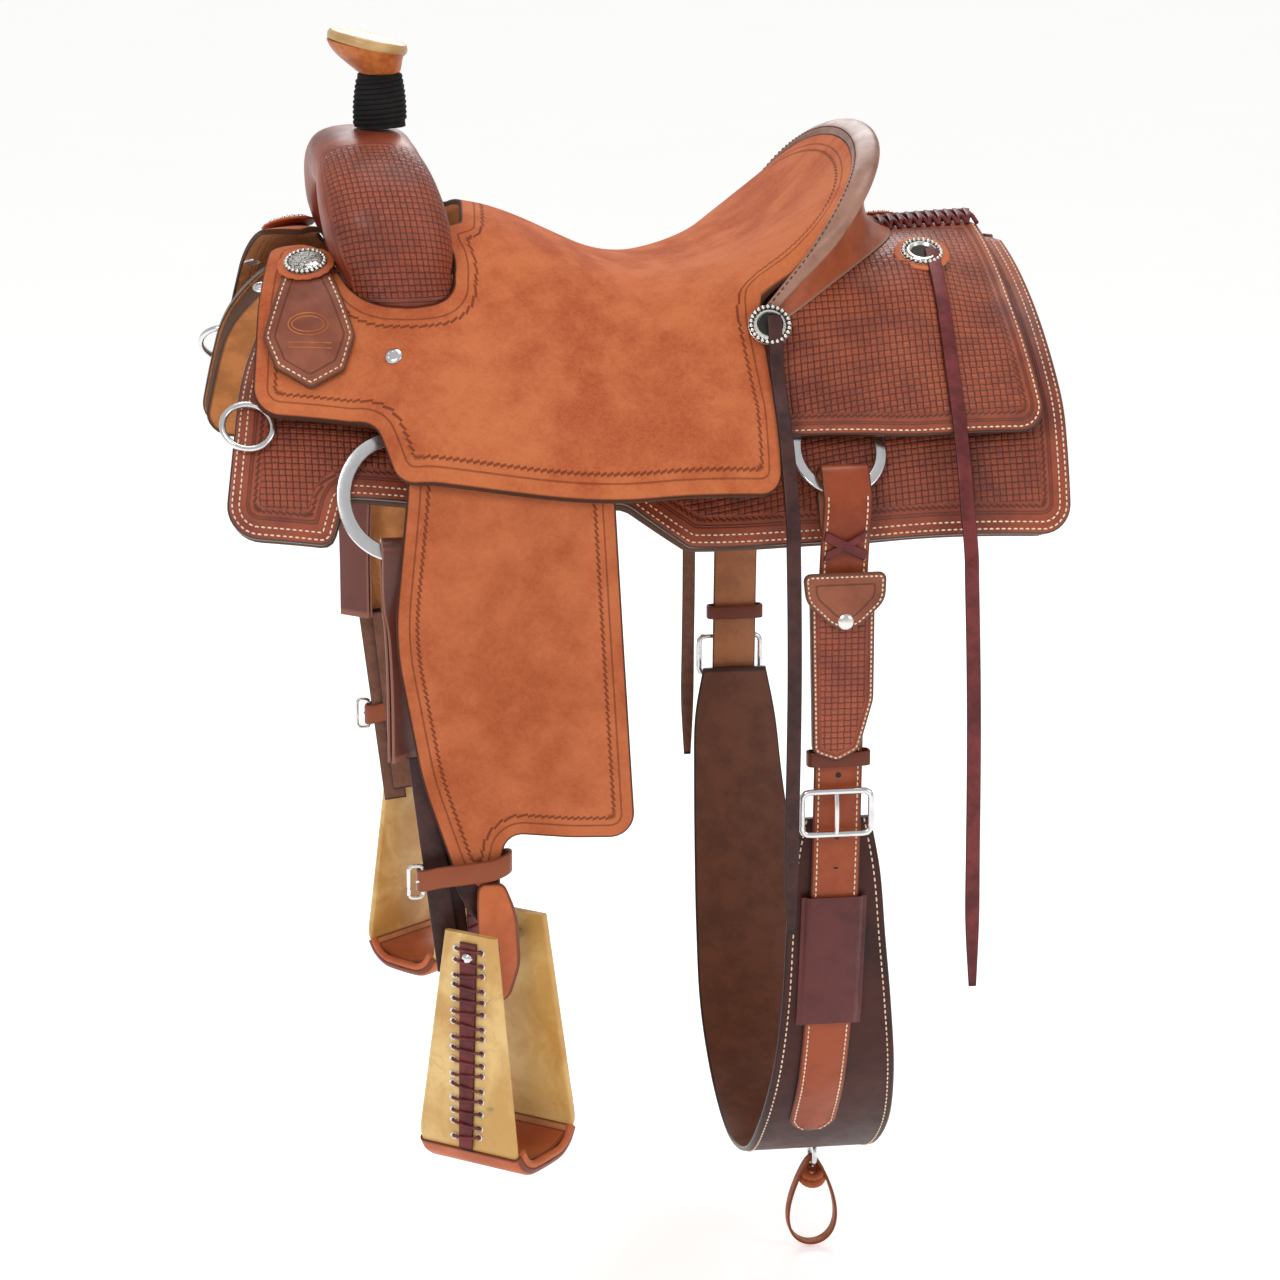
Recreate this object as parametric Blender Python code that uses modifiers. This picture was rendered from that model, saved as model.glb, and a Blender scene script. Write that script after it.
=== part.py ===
"""Western roping saddle as an assembly of separate leather, wood and metal pieces.

Metres. -X is the front (horn), +X the rear (cantle), -Y the near side, +Z up.
The origin is the top of the back that the saddle sits on, under the seat.
Leather that lies on the back is drawn flat, in (x, s), where s is the distance down
the side from the centre line, and is then laid over a barrel with drape().
"""
import math

import bmesh
import bpy
from mathutils import Matrix, Vector

# ---------------------------------------------------------------- driving dimensions
BARREL_R = 0.306          # radius of the back's side, seen from the front
RIDGE_ANGLE = math.radians(12)
DIP, DIP_LENGTH = 0.042, 0.18      # the back rises this much towards both ends
SEAT_CELL_X = 0.036
CELL_X, CELL_S = 0.060, 0.030      # facet size of draped leather

LINING_TOP = 0.0140       # layers, as offsets from the back
SKIRT_LOW, SKIRT_TOP = 0.0155, 0.0205
RING_THICK = 0.0040
JOCKEY_LOW, JOCKEY_TOP = 0.0330, 0.0370
SEAT_LOW, SEAT_THICK = 0.0385, 0.0050
BAR_HEIGHT, BAR_SPREAD, BAR_END = 0.020, 0.20, 0.25
CANTLE_BASE, CANTLE_BASE_X = 0.018, 0.13
FLARE = 0.041             # how far the stirrup leathers push the seat jockey out

FORK_SEAT = 0.020         # how deep the fork is let into the bars
CANTLE_TOP_X, CANTLE_TOP_Z = 0.223, 0.147
CANTLE_END_X, CANTLE_END_S = 0.118, 0.130
CANTLE_POWER = 0.42
DISH_START = 0.045
ROLL_WIDTH, ROLL_THICK = 0.026, 0.012

HORN_X, HORN_NECK_Z = -0.190, 0.214
CAP_TILT = math.radians(12.5)

FENDER_IN, FENDER_OUT = 0.2655, 0.2700
LEATHER_MID, LEATHER_THICK = 0.2608, 0.0050
HANG_X, HANG_Z = -0.112, -0.112    # top of the stirrup leather's free length
STIRRUP_X, STIRRUP_Y = -0.124, 0.2625
STIRRUP_TURN = math.radians(50)
STIRRUP_TOP_Z = -0.477
BOLT_Z, BOLT_R = -0.497, 0.0045

FRONT_RING = (-0.199, 0.266, 0.0455, 0.0450, 0.0120)   # x, s, half length, half height, bar width
REAR_RING = (0.177, 0.235, 0.0365, 0.0365, 0.0090)
BILLET_WIDTH = 0.042
CONCHO_R, CONCHO_THICK = 0.0185, 0.0038
STRING_WIDTH, STRING_THICK = 0.0125, 0.0028

NEAR, OFF = -1, 1
SIDES = (("near", NEAR), ("off", OFF))

COLOURS = {
    "rough_out": ((0.53, 0.16, 0.060), 0.85, 0.0),
    "tooled": ((0.27, 0.055, 0.022), 0.45, 0.0),
    "bridle": ((0.40, 0.10, 0.030), 0.50, 0.0),
    "latigo": ((0.075, 0.013, 0.010), 0.55, 0.0),
    "lining": ((0.67, 0.28, 0.060), 0.95, 0.0),
    "rawhide": ((0.66, 0.46, 0.22), 0.35, 0.0),
    "wood": ((0.45, 0.30, 0.16), 0.70, 0.0),
    "wrap": ((0.012, 0.012, 0.012), 0.75, 0.0),
    "roll": ((0.22, 0.075, 0.045), 0.45, 0.0),
    "silver": ((0.75, 0.74, 0.72), 0.22, 1.0),
}

for old in list(bpy.data.objects):
    bpy.data.objects.remove(old, do_unlink=True)
PARTS = bpy.data.collections.new("western_saddle")
CUTTERS = bpy.data.collections.new("cutters")
for group in (PARTS, CUTTERS):
    bpy.context.scene.collection.children.link(group)


# ---------------------------------------------------------------- small helpers
def material(slot):
    found = bpy.data.materials.get(slot)
    if found:
        return found
    colour, rough, metal = COLOURS[slot]
    made = bpy.data.materials.new(slot)
    made.use_nodes = True
    shader = made.node_tree.nodes["Principled BSDF"]
    shader.inputs["Base Color"].default_value = (*colour, 1.0)
    shader.inputs["Roughness"].default_value = rough
    shader.inputs["Metallic"].default_value = metal
    made.diffuse_color = (*colour, 1.0)
    return made


def add(name, bm, slot, smooth=True):
    """One object in the parts collection, with its faces pointing out."""
    bmesh.ops.remove_doubles(bm, verts=bm.verts, dist=1e-6)
    bmesh.ops.recalc_face_normals(bm, faces=bm.faces)
    mesh = bpy.data.meshes.new(name)
    bm.to_mesh(mesh)
    bm.free()
    mesh.materials.append(material(slot))
    if smooth:
        mesh.shade_smooth()
        mesh.set_sharp_from_angle(angle=math.radians(35))
    obj = bpy.data.objects.new(name, mesh)
    PARTS.objects.link(obj)
    return obj


def smooth_step(low, high, value):
    t = min(max((value - low) / (high - low), 0.0), 1.0)
    return t * t * (3 - 2 * t)


def rounded(points):
    """A closed outline of (u, v, radius) corners with each corner as an arc."""
    outline = []
    count = len(points)
    for i, (u, v, radius) in enumerate(points):
        here = Vector((u, v))
        if radius <= 0:
            outline.append(here)
            continue
        back = (Vector(points[i - 1][:2]) - here)
        ahead = (Vector(points[(i + 1) % count][:2]) - here)
        half = back.angle(ahead) / 2
        reach = min(radius / math.tan(half), 0.49 * back.length, 0.49 * ahead.length)
        radius = reach * math.tan(half)
        centre = here + (back.normalized() + ahead.normalized()).normalized() * radius / math.sin(half)
        start = here + back.normalized() * reach - centre
        turn = start.angle_signed(here + ahead.normalized() * reach - centre)
        steps = 2 if radius < 0.012 else 3 if radius < 0.04 else 5
        for k in range(steps + 1):
            outline.append(centre + Matrix.Rotation(-turn * k / steps, 2) @ start)
    return outline


def loft(sections, closed=False):
    """A solid skin through rings of points, capped at both ends unless it is closed."""
    bm = bmesh.new()
    rings = [[bm.verts.new(p) for p in ring] for ring in sections]
    size = len(rings[0])
    pairs = list(zip(rings, rings[1:]))
    if closed:
        pairs.append((rings[-1], rings[0]))
    for a, b in pairs:
        for k in range(size):
            bm.faces.new((a[k], a[(k + 1) % size], b[(k + 1) % size], b[k]))
    if not closed:
        bm.faces.new(rings[0])
        bm.faces.new(rings[-1])
    return bm


def ribbon(stations, closed=False):
    """A strap: each station is its centre, its half width and its half thickness vector."""
    rings = []
    for centre, half, thick in stations:
        centre, half, thick = Vector(centre), Vector(half), Vector(thick)
        rings.append([centre + half + thick, centre - half + thick,
                      centre - half - thick, centre + half - thick])
    return loft(rings, closed)


def lathe(name, profile, slot, place, steps=24, closed=False):
    """A turned piece: (radius, height) pairs, top to bottom, spun with a Screw modifier."""
    mesh = bpy.data.meshes.new(name)
    edges = [(i, i + 1) for i in range(len(profile) - 1)]
    if closed:
        edges.append((len(profile) - 1, 0))
    mesh.from_pydata([(r, 0, z) for r, z in profile], edges, [])
    mesh.materials.append(material(slot))
    obj = bpy.data.objects.new(name, mesh)
    obj.matrix_world = place
    spin = obj.modifiers.new("spin", "SCREW")
    spin.steps = steps
    spin.render_steps = steps
    spin.use_merge_vertices = True
    spin.merge_threshold = 0.0001
    spin.use_smooth_shade = True
    PARTS.objects.link(obj)
    return obj


def wire(name, points, radius, slot, closed=True, resolution=1):
    """A bent rod as a curve with a round bevel."""
    data = bpy.data.curves.new(name, "CURVE")
    data.dimensions = "3D"
    data.bevel_depth = radius
    data.bevel_resolution = resolution
    data.use_fill_caps = not closed
    spline = data.splines.new("POLY")
    spline.points.add(len(points) - 1)
    for target, source in zip(spline.points, points):
        target.co = (*source, 1.0)
    spline.use_cyclic_u = closed
    data.materials.append(material(slot))
    obj = bpy.data.objects.new(name, data)
    PARTS.objects.link(obj)
    return obj


def plate(name, outline, inner, outer, side, slot):
    """A flat upright piece: an outline in (x, z), between two distances from the centre."""
    data = bpy.data.curves.new(name, "CURVE")
    data.dimensions = "2D"
    data.fill_mode = "BOTH"
    data.extrude = (outer - inner) / 2
    spline = data.splines.new("POLY")
    spline.points.add(len(outline) - 1)
    for target, (u, v) in zip(spline.points, outline):
        target.co = (u, v, 0, 1)
    spline.use_cyclic_u = True
    data.materials.append(material(slot))
    obj = bpy.data.objects.new(name, data)
    obj.location = (0, side * (inner + outer) / 2, 0)
    obj.rotation_euler = (math.radians(90), 0, 0)
    PARTS.objects.link(obj)
    return obj


# ---------------------------------------------------------------- the back and the tree's shape
def rise(x):
    return DIP * (1 - math.exp(-(x / DIP_LENGTH) ** 2))


def slope(s):
    return RIDGE_ANGLE + abs(s) / BARREL_R


def drape(x, s, lift, side):
    """The point at distance s down the side, lifted along the surface's normal."""
    t = slope(s)
    y = BARREL_R * (math.sin(t) - math.sin(RIDGE_ANGLE)) + lift * math.sin(t)
    z = BARREL_R * (math.cos(t) - math.cos(RIDGE_ANGLE)) + lift * math.cos(t)
    return Vector((x, side * y, z + rise(x)))


def normal_at(s, side):
    t = slope(s)
    return Vector((0, side * math.sin(t), math.cos(t)))


def bars(x, s):
    """How far the tree's bars and the cantle's foot lift the leather above them."""
    height = BAR_HEIGHT + CANTLE_BASE * math.exp(-((x - CANTLE_BASE_X) / 0.07) ** 2)
    across = math.sin(math.pi * min(abs(s) / BAR_SPREAD, 1.0)) ** 2
    return height * across * (1 - smooth_step(BAR_END, BAR_END + 0.08, abs(x)))


def flare(x, s):
    along = smooth_step(-0.24, -0.17, x) * (1 - smooth_step(0.05, 0.19, x))
    return FLARE * along * smooth_step(0.08, 0.25, abs(s))


def jockey_lift(x, s):
    return JOCKEY_LOW + bars(x, s)


def seat_crest(x):
    """Height of the seat's underside above the draped layers, on the centre line."""
    front = 0.043 * smooth_step(0.0, 1.0, (0.055 - x) / 0.165)
    return (0.006 + front) * smooth_step(-0.240, -0.155, x)


def seat_low_point(x, s, side):
    """The underside of the seat leather, before the cantle's dish is added."""
    centre = 0.5 + 0.5 * math.cos(math.pi * min(abs(s) / 0.14, 1.0))
    lift = SEAT_LOW + bars(x, s) + flare(x, s) + seat_crest(x) * centre
    t = slope(s)
    near_ridge = 0.05
    if abs(s) < near_ridge:
        t = slope(near_ridge) * math.sin(math.pi / 2 * abs(s) / near_ridge)
    flat = slope(s)
    y = BARREL_R * (math.sin(flat) - math.sin(RIDGE_ANGLE)) + lift * math.sin(t)
    z = BARREL_R * (math.cos(flat) - math.cos(RIDGE_ANGLE)) + lift * math.cos(t)
    soften = 0.006 * math.exp(-(abs(s) / 0.03) ** 2)
    return Vector((x, side * y, z + rise(x) - soften))


def cantle_rim(fraction, side=OFF):
    """The top edge of the dish: fraction is 0 at the centre and 1 at the cantle's end."""
    end = seat_low_point(CANTLE_END_X, CANTLE_END_S, OFF)
    angle = math.pi / 2 * min(abs(fraction), 1.0)
    up = max(math.cos(angle), 0.0) ** CANTLE_POWER
    y = end.y * math.sin(angle)
    return Vector((end.x + (CANTLE_TOP_X - end.x) * up, side * y,
                   end.z + (CANTLE_TOP_Z - end.z) * up))


def dish_length(s):
    """Flat x at which the seat leather reaches the cantle's rim."""
    up = math.cos(math.pi / 2 * min(abs(s) / CANTLE_END_S, 1.0)) ** CANTLE_POWER
    return CANTLE_END_X + 0.118 * up


def seat_surface(x, s, side):
    """The underside of the seat leather, with the dish that climbs the cantle."""
    if x <= DISH_START or abs(s) > CANTLE_END_S:
        return seat_low_point(x, s, side)
    end_x = dish_length(s)
    t = min((x - DISH_START) / (end_x - DISH_START), 1.0)
    start = seat_low_point(DISH_START, s, side)
    rim = cantle_rim(abs(s) / CANTLE_END_S, side)
    reach = (rim - start).length
    lead = (seat_low_point(DISH_START + 0.002, s, side) - start).normalized() * reach * 1.15
    steep = 1.0 - (abs(s) / CANTLE_END_S) ** 3
    arrive = Vector((0.75, 0.0, 0.75 * steep + 0.12)).normalized() * reach * 1.0
    h00, h10 = 2 * t ** 3 - 3 * t ** 2 + 1, t ** 3 - 2 * t ** 2 + t
    h01, h11 = -2 * t ** 3 + 3 * t ** 2, t ** 3 - t ** 2
    return start * h00 + lead * h10 + rim * h01 + arrive * h11


def seat_point(x, s, height, side):
    """A point above the seat leather's underside, measured along its normal."""
    d = 0.001
    signed = s * side
    here = seat_surface(x, s, side)
    fore = seat_surface(x - d, s, side)
    left, right = signed - d, signed + d
    a = seat_surface(x, abs(left), OFF if left >= 0 else NEAR)
    b = seat_surface(x, abs(right), OFF if right >= 0 else NEAR)
    normal = (here - fore).cross(b - a).normalized()
    if normal.z < 0:
        normal = -normal
    return here + normal * height


# ---------------------------------------------------------------- draped sheets
def flat_cells(outline, cell_x, cell_s):
    """The outline as flat faces cut along a fixed grid, so that layers share their facets."""
    bm = bmesh.new()
    bm.faces.new([bm.verts.new((u, v, 0)) for u, v in outline])
    for axis, cell in ((0, cell_x), (1, cell_s)):
        low = min(p[axis] for p in outline)
        high = max(p[axis] for p in outline)
        for k in range(math.floor(low / cell) + 1, math.ceil(high / cell)):
            at, away = Vector((0, 0, 0)), Vector((0, 0, 0))
            at[axis] = k * cell
            away[axis] = 1
            geometry = bm.verts[:] + bm.edges[:] + bm.faces[:]
            bmesh.ops.bisect_plane(bm, geom=geometry, plane_co=at, plane_no=away, dist=0.0012)
    bmesh.ops.triangulate(bm, faces=bm.faces, quad_method="FIXED", ngon_method="BEAUTY")
    return bm


def two_layers(flat, low_point, top_point):
    """A closed sheet from flat faces and the two places that each flat point goes to."""
    bm = bmesh.new()
    low = {v.index: bm.verts.new(low_point(v.co.x, v.co.y)) for v in flat.verts}
    top = {v.index: bm.verts.new(top_point(v.co.x, v.co.y)) for v in flat.verts}
    for face in flat.faces:
        ids = [v.index for v in face.verts]
        bm.faces.new([top[i] for i in ids])
        bm.faces.new([low[i] for i in reversed(ids)])
    for edge in flat.edges:
        if edge.is_boundary:
            a, b = (v.index for v in edge.verts)
            bm.faces.new((top[a], low[a], low[b], top[b]))
    flat.free()
    return bm


def sheet(name, corners, low, top, side, slot, cell_x=CELL_X, cell_s=CELL_S):
    """Leather on the back: low and top are its offsets, as numbers or as f(x, s)."""
    low_at = low if callable(low) else lambda x, s: low
    top_at = top if callable(top) else lambda x, s: top
    flat = flat_cells(rounded(corners), cell_x, cell_s)
    flat.verts.index_update()
    bm = two_layers(flat, lambda x, s: drape(x, s, low_at(x, s), side),
                    lambda x, s: drape(x, s, top_at(x, s), side))
    return add(name, bm, slot)


def seat_sheet(name, corners, low, top, side, slot):
    """Leather that follows the seat's surface, between two heights above its underside."""
    flat = flat_cells(rounded(corners), SEAT_CELL_X, CELL_S)
    flat.verts.index_update()
    bm = two_layers(flat, lambda x, s: seat_point(x, s, low, side),
                    lambda x, s: seat_point(x, s, top, side))
    return add(name, bm, slot)


# ---------------------------------------------------------------- outlines, as (x, s, corner radius)
SKIRT = [(-0.285, 0.055, 0.02), (-0.325, 0.170, 0.3), (-0.345, 0.302, 0.026), (-0.256, 0.308, 0.012),
         (-0.243, 0.268, 0.012), (-0.160, 0.266, 0.02), (-0.006, 0.245, 0.02), (0.046, 0.287, 0.01),
         (0.200, 0.312, 0.3), (0.374, 0.323, 0.025), (0.378, 0.215, 0.3), (0.362, 0.004, 0.008),
         (0.215, 0.004, 0.02), (0.160, 0.055, 0.03)]
REAR_JOCKEY = [(0.110, 0.060, 0.01), (0.205, 0.060, 0.03), (0.225, 0.004, 0.02), (0.338, 0.004, 0.008),
               (0.345, 0.116, 0.3), (0.358, 0.243, 0.022), (0.240, 0.238, 0.3), (0.110, 0.214, 0.01)]
KITE = [(-0.277, 0.084, 0.01), (-0.249, 0.084, 0.01), (-0.227, 0.147, 0.008), (-0.239, 0.174, 0.006),
        (-0.268, 0.191, 0.006), (-0.296, 0.175, 0.006), (-0.304, 0.148, 0.008)]
SEAT_FRONT_FLAP = [(-0.262, 0.030, 0.015), (-0.290, 0.040, 0.02), (-0.306, 0.115, 0.3),
                   (-0.319, 0.212, 0.022), (-0.215, 0.217, 0.02), (-0.199, 0.268, 0.018),
                   (0.030, 0.262, 0.3), (0.119, 0.270, 0.018), (0.124, 0.200, 0)]
SWELL_CUT = [(-0.130, 0.075, 0.03), (-0.138, 0.124, 0.03), (-0.162, 0.151, 0.02),
             (-0.200, 0.151, 0.02), (-0.236, 0.124, 0.03), (-0.256, 0.070, 0.03)]
FENDER = [(-0.024, -0.113, 0.006), (-0.014, -0.250, 0.5), (-0.005, -0.405, 0.020),
          (-0.060, -0.403, 0.2), (-0.116, -0.397, 0.016), (-0.121, -0.432, 0.01),
          (-0.137, -0.446, 0.004), (-0.160, -0.430, 0.02), (-0.186, -0.350, 0.3),
          (-0.208, -0.225, 0.25), (-0.192, -0.113, 0.006)]


# ---------------------------------------------------------------- seat, skirts and linings
def seat():
    """The seat and both jockeys, cut from one rough-out hide."""
    near_half = rounded(SEAT_FRONT_FLAP)
    rear = []
    steps = 12
    for k in range(steps + 1):
        s = CANTLE_END_S * (1 - k / steps)
        rear.append(Vector((dish_length(s), s)))
    cut = rounded([(-0.100, 0.0, 0)] + SWELL_CUT + [(-0.262, 0.030, 0)])[:-1]
    half = near_half + rear + cut
    outline = half[:-1] if (half[-1] - half[0]).length < 1e-6 else half
    flat = flat_cells(outline, SEAT_CELL_X, CELL_S)
    bmesh.ops.mirror(flat, geom=flat.verts[:] + flat.edges[:] + flat.faces[:], axis="Y",
                     merge_dist=0.0001)
    bmesh.ops.remove_doubles(flat, verts=flat.verts, dist=0.0001)
    flat.verts.index_update()

    def place(height):
        return lambda x, s: seat_point(x, abs(s), height, OFF if s >= 0 else NEAR)
    add("seat", two_layers(flat, place(0.0), place(SEAT_THICK)), "rough_out")


def side_leathers(name, side):
    sheet(f"{name}_skirt", SKIRT, SKIRT_LOW, SKIRT_TOP, side, "tooled")
    lining = [(x * 0.992, s, r) for x, s, r in SKIRT]
    sheet(f"{name}_lining", lining, 0.0, LINING_TOP, side, "lining")
    sheet(f"{name}_rear_jockey", REAR_JOCKEY, jockey_lift,
          lambda x, s: jockey_lift(x, s) + JOCKEY_TOP - JOCKEY_LOW, side, "tooled",
          cell_x=0.036)
    top = SEAT_THICK
    seat_sheet(f"{name}_keeper", KITE, top + 0.0028, top + 0.0056, side, "tooled")
    strap = [(-0.236, 0.160, 0.004), (-0.198, 0.160, 0.004), (-0.198, 0.203, 0.004), (-0.236, 0.203, 0.004)]
    sheet(f"{name}_rigging_strap", strap, SKIRT_TOP + 0.0012, SKIRT_TOP + 0.0056, side, "bridle")


# ---------------------------------------------------------------- the tree
def bar_top(x, s):
    let_in = FORK_SEAT * math.exp(-((x + 0.185) / 0.06) ** 2)
    return max(SKIRT_TOP + 0.0050 + 0.85 * bars(x, s) - let_in, SKIRT_TOP + 0.0035)


def tree_bar(name, side):
    corners = [(-0.285, 0.075, 0.02), (-0.150, 0.062, 0.2), (0.080, 0.058, 0.2), (0.290, 0.050, 0.03),
               (0.290, 0.120, 0.03), (0.060, 0.150, 0.2), (-0.285, 0.145, 0.03)]
    sheet(f"{name}_tree_bar", corners, SKIRT_TOP + 0.0012,
          bar_top, side, "wood")


GULLET = [(0.0, 0.112), (0.040, 0.108), (0.066, 0.092), (0.078, 0.068), (0.080, 0.048), (0.082, 0.031)]
SWELL_OUT = [(0.0, 0.166), (0.060, 0.162), (0.106, 0.144), (0.138, 0.111), (0.151, 0.068), (0.147, 0.025)]
SWELL_X = [(-0.206, 0.041), (-0.204, 0.046), (-0.200, 0.051), (-0.194, 0.053), (-0.188, 0.047),
           (-0.182, 0.027)]


def smooth_list(values, t):
    """Catmull-Rom through a list of tuples, t from 0 to 1."""
    at = t * (len(values) - 1)
    i = min(int(at), len(values) - 2)
    f = at - i
    mirrored = tuple(-c if k == 0 and len(values[0]) == 2 and values[0][0] == 0.0 else c
                     for k, c in enumerate(values[1]))
    before = values[i - 1] if i > 0 else mirrored
    after = values[i + 2] if i + 2 < len(values) else values[-1]
    a, b = values[i], values[i + 1]
    return [0.5 * (2 * q + (r - p) * f + (2 * p - 5 * q + 4 * r - w) * f ** 2
                   + (3 * q - p - 3 * r + w) * f ** 3)
            for p, q, r, w in zip(before, a, b, after)]


def swell_section(u, inset, first, last, steps):
    """Points around the fork at u (-1 near foot, 1 off foot), as a rounded box."""
    side = OFF if u >= 0 else NEAR
    inner = smooth_list(GULLET, abs(u))
    outer = smooth_list(SWELL_OUT, abs(u))
    x_mid, x_half = smooth_list(SWELL_X, abs(u))
    low, high = Vector((0, side * inner[0], inner[1])), Vector((0, side * outer[0], outer[1]))
    middle, radial = (low + high) / 2, (high - low)
    half = radial.length / 2 - inset
    radial.normalize()
    points = []
    for k in range(steps):
        angle = first + (last - first) * k / (steps - 1 if last - first < 2 * math.pi - 0.01 else steps)
        ca, sa = math.cos(angle), math.sin(angle)
        power = 0.72
        along = math.copysign(abs(sa) ** power, sa) * (x_half - inset)
        out = math.copysign(abs(ca) ** power, ca) * half
        points.append(middle + radial * out + Vector((x_mid + along, 0, 0)))
    return points


def fork():
    count = 14
    stations = [-1 + 2 * k / count for k in range(count + 1)]
    core = [swell_section(u, 0.0055, 0, 2 * math.pi, 12) for u in stations]
    add("fork", loft(core), "wood")
    wrap = math.radians(142)
    bm = bmesh.new()
    grids = []
    for inset in (0.0, 0.0030):
        grids.append([[bm.verts.new(p) for p in swell_section(u, inset, -wrap, wrap, 15)]
                      for u in stations])
    rows, cols = len(grids[0]), len(grids[0][0])
    for grid in grids:
        for i in range(rows - 1):
            for j in range(cols - 1):
                bm.faces.new((grid[i][j], grid[i + 1][j], grid[i + 1][j + 1], grid[i][j + 1]))
    top, low = grids
    for i in range(rows - 1):
        for j in (0, cols - 1):
            bm.faces.new((top[i][j], top[i + 1][j], low[i + 1][j], low[i][j]))
    for j in range(cols - 1):
        for i in (0, rows - 1):
            bm.faces.new((top[i][j], top[i][j + 1], low[i][j + 1], low[i][j]))
    add("swell_cover", bm, "tooled")


def horn():
    top = HORN_NECK_Z
    foot = 0.1690
    lathe("horn", [(0, top), (0.0150, top), (0.0155, foot + 0.006), (0.0220, foot + 0.0005),
                   (0, foot + 0.0005)], "wood", Matrix.Translation((HORN_X, 0, 0)), steps=16)
    low, high = 0.0035, top - foot - 0.0015
    lathe("horn_wrap",
          [(0.0162, high), (0.0190, high), (0.0205, high * 0.5), (0.0232, low + 0.004),
           (0.0232, low + 0.0015), (0.0228, low + 0.0012), (0.0162, low + 0.006)],
          "wrap", Matrix.Translation((HORN_X, 0, foot)), steps=20, closed=True)
    rings = []
    for out, height, shift in ((0.54, 0.0, 0.0), (0.64, 0.005, -0.003), (0.93, 0.014, -0.013),
                               (1.00, 0.019, -0.015), (1.00, 0.025, -0.015), (0.93, 0.029, -0.015),
                               (0.60, 0.031, -0.015)):
        ring = []
        for k in range(20):
            a = 2 * math.pi * k / 20
            flat = Vector((shift + 0.0345 * out * math.cos(a), 0.0385 * out * math.sin(a), height))
            lean = min(height / 0.021, 1.0)
            ring.append(Matrix.Rotation(CAP_TILT * lean, 3, "Y") @ flat
                        + Vector((HORN_X, 0, HORN_NECK_Z + 0.0004)))
        rings.append(ring)
    add("horn_cap", loft(rings), "rawhide")


def cantle():
    """The wooden cantle board, its leather roll and the smooth cover behind it."""
    fractions = [-0.985 + 1.97 * k / 22 for k in range(23)]
    roll = []
    for f in fractions:
        side = OFF if f >= 0 else NEAR
        rim = cantle_rim(f, side)
        step = 0.01
        before, after = f - step, f + step
        along = (cantle_rim(after, OFF if after >= 0 else NEAR)
                 - cantle_rim(before, OFF if before >= 0 else NEAR)).normalized()
        out = rim - Vector((0.03, rim.y * abs(f) ** 2, 0.06))
        out = (out - along * out.dot(along)).normalized()
        up = along.cross(out).normalized()
        if up.z < 0:
            up = -up
        taper = 1 - 0.62 * abs(f) ** 5
        centre = rim + out * (ROLL_WIDTH * taper / 2 + 0.0012) + up * 0.004
        ring = []
        for k in range(8):
            a = 2 * math.pi * (k + 0.5) / 8
            ring.append(centre + out * (math.cos(a) * ROLL_WIDTH * taper / 2)
                        + up * (math.sin(a) * ROLL_THICK * taper / 2))
        roll.append(ring)
    add("cantle_binding", loft(roll), "roll")

    board = [Vector((dish_length(s) - 0.007, s)) for s in [0.090 - 0.180 * k / 12 for k in range(13)]]
    board += [Vector((0.150, -0.090)), Vector((0.150, 0.090))]
    flat = flat_cells(board, 0.03, 0.03)
    flat.verts.index_update()

    def behind(depth):
        return lambda x, s: seat_point(x, abs(s), -depth, OFF if s >= 0 else NEAR)
    add("cantle_board", two_layers(flat, behind(0.0150), behind(0.0015)), "wood")

    rows = []
    for f in [-0.86 + 1.72 * k / 16 for k in range(17)]:
        side = OFF if f >= 0 else NEAR
        rim = cantle_rim(f, side)
        angle = math.pi / 2 * abs(f)
        foot_x = 0.135 + 0.125 * max(math.cos(angle), 0) ** 0.6
        foot_s = 0.004 + 0.135 * abs(f)
        foot = drape(foot_x, foot_s, JOCKEY_TOP + 0.0045 + bars(foot_x, foot_s), side)
        top = rim + Vector((0.012, 0, -0.016))
        lean = Vector((-0.010, 0, -0.012)) * (1 - abs(f) ** 2)
        rows.append([top, top.lerp(foot, 0.35) + lean, top.lerp(foot, 0.7) + lean, foot])
    thick = 0.0026
    bm = bmesh.new()
    outer = [[bm.verts.new(p) for p in row] for row in rows]
    inner = [[bm.verts.new(p + Vector((-thick, 0, thick * 0.2))) for p in row] for row in rows]
    last = len(rows) - 1
    for i in range(last):
        for j in range(3):
            bm.faces.new((outer[i][j], outer[i + 1][j], outer[i + 1][j + 1], outer[i][j + 1]))
            bm.faces.new((inner[i][j], inner[i][j + 1], inner[i + 1][j + 1], inner[i + 1][j]))
        bm.faces.new((outer[i][0], inner[i][0], inner[i + 1][0], outer[i + 1][0]))
        bm.faces.new((outer[i][3], outer[i + 1][3], inner[i + 1][3], inner[i][3]))
    for i in (0, last):
        for j in range(3):
            bm.faces.new((outer[i][j], outer[i][j + 1], inner[i][j + 1], inner[i][j]))
    add("cantle_cover", bm, "bridle")


# ---------------------------------------------------------------- metal on the leather
def facing(point, normal):
    """A frame at the point whose Z axis is the normal."""
    turn = Vector((0, 0, 1)).rotation_difference(normal).to_matrix().to_4x4()
    return Matrix.Translation(point) @ turn


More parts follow.
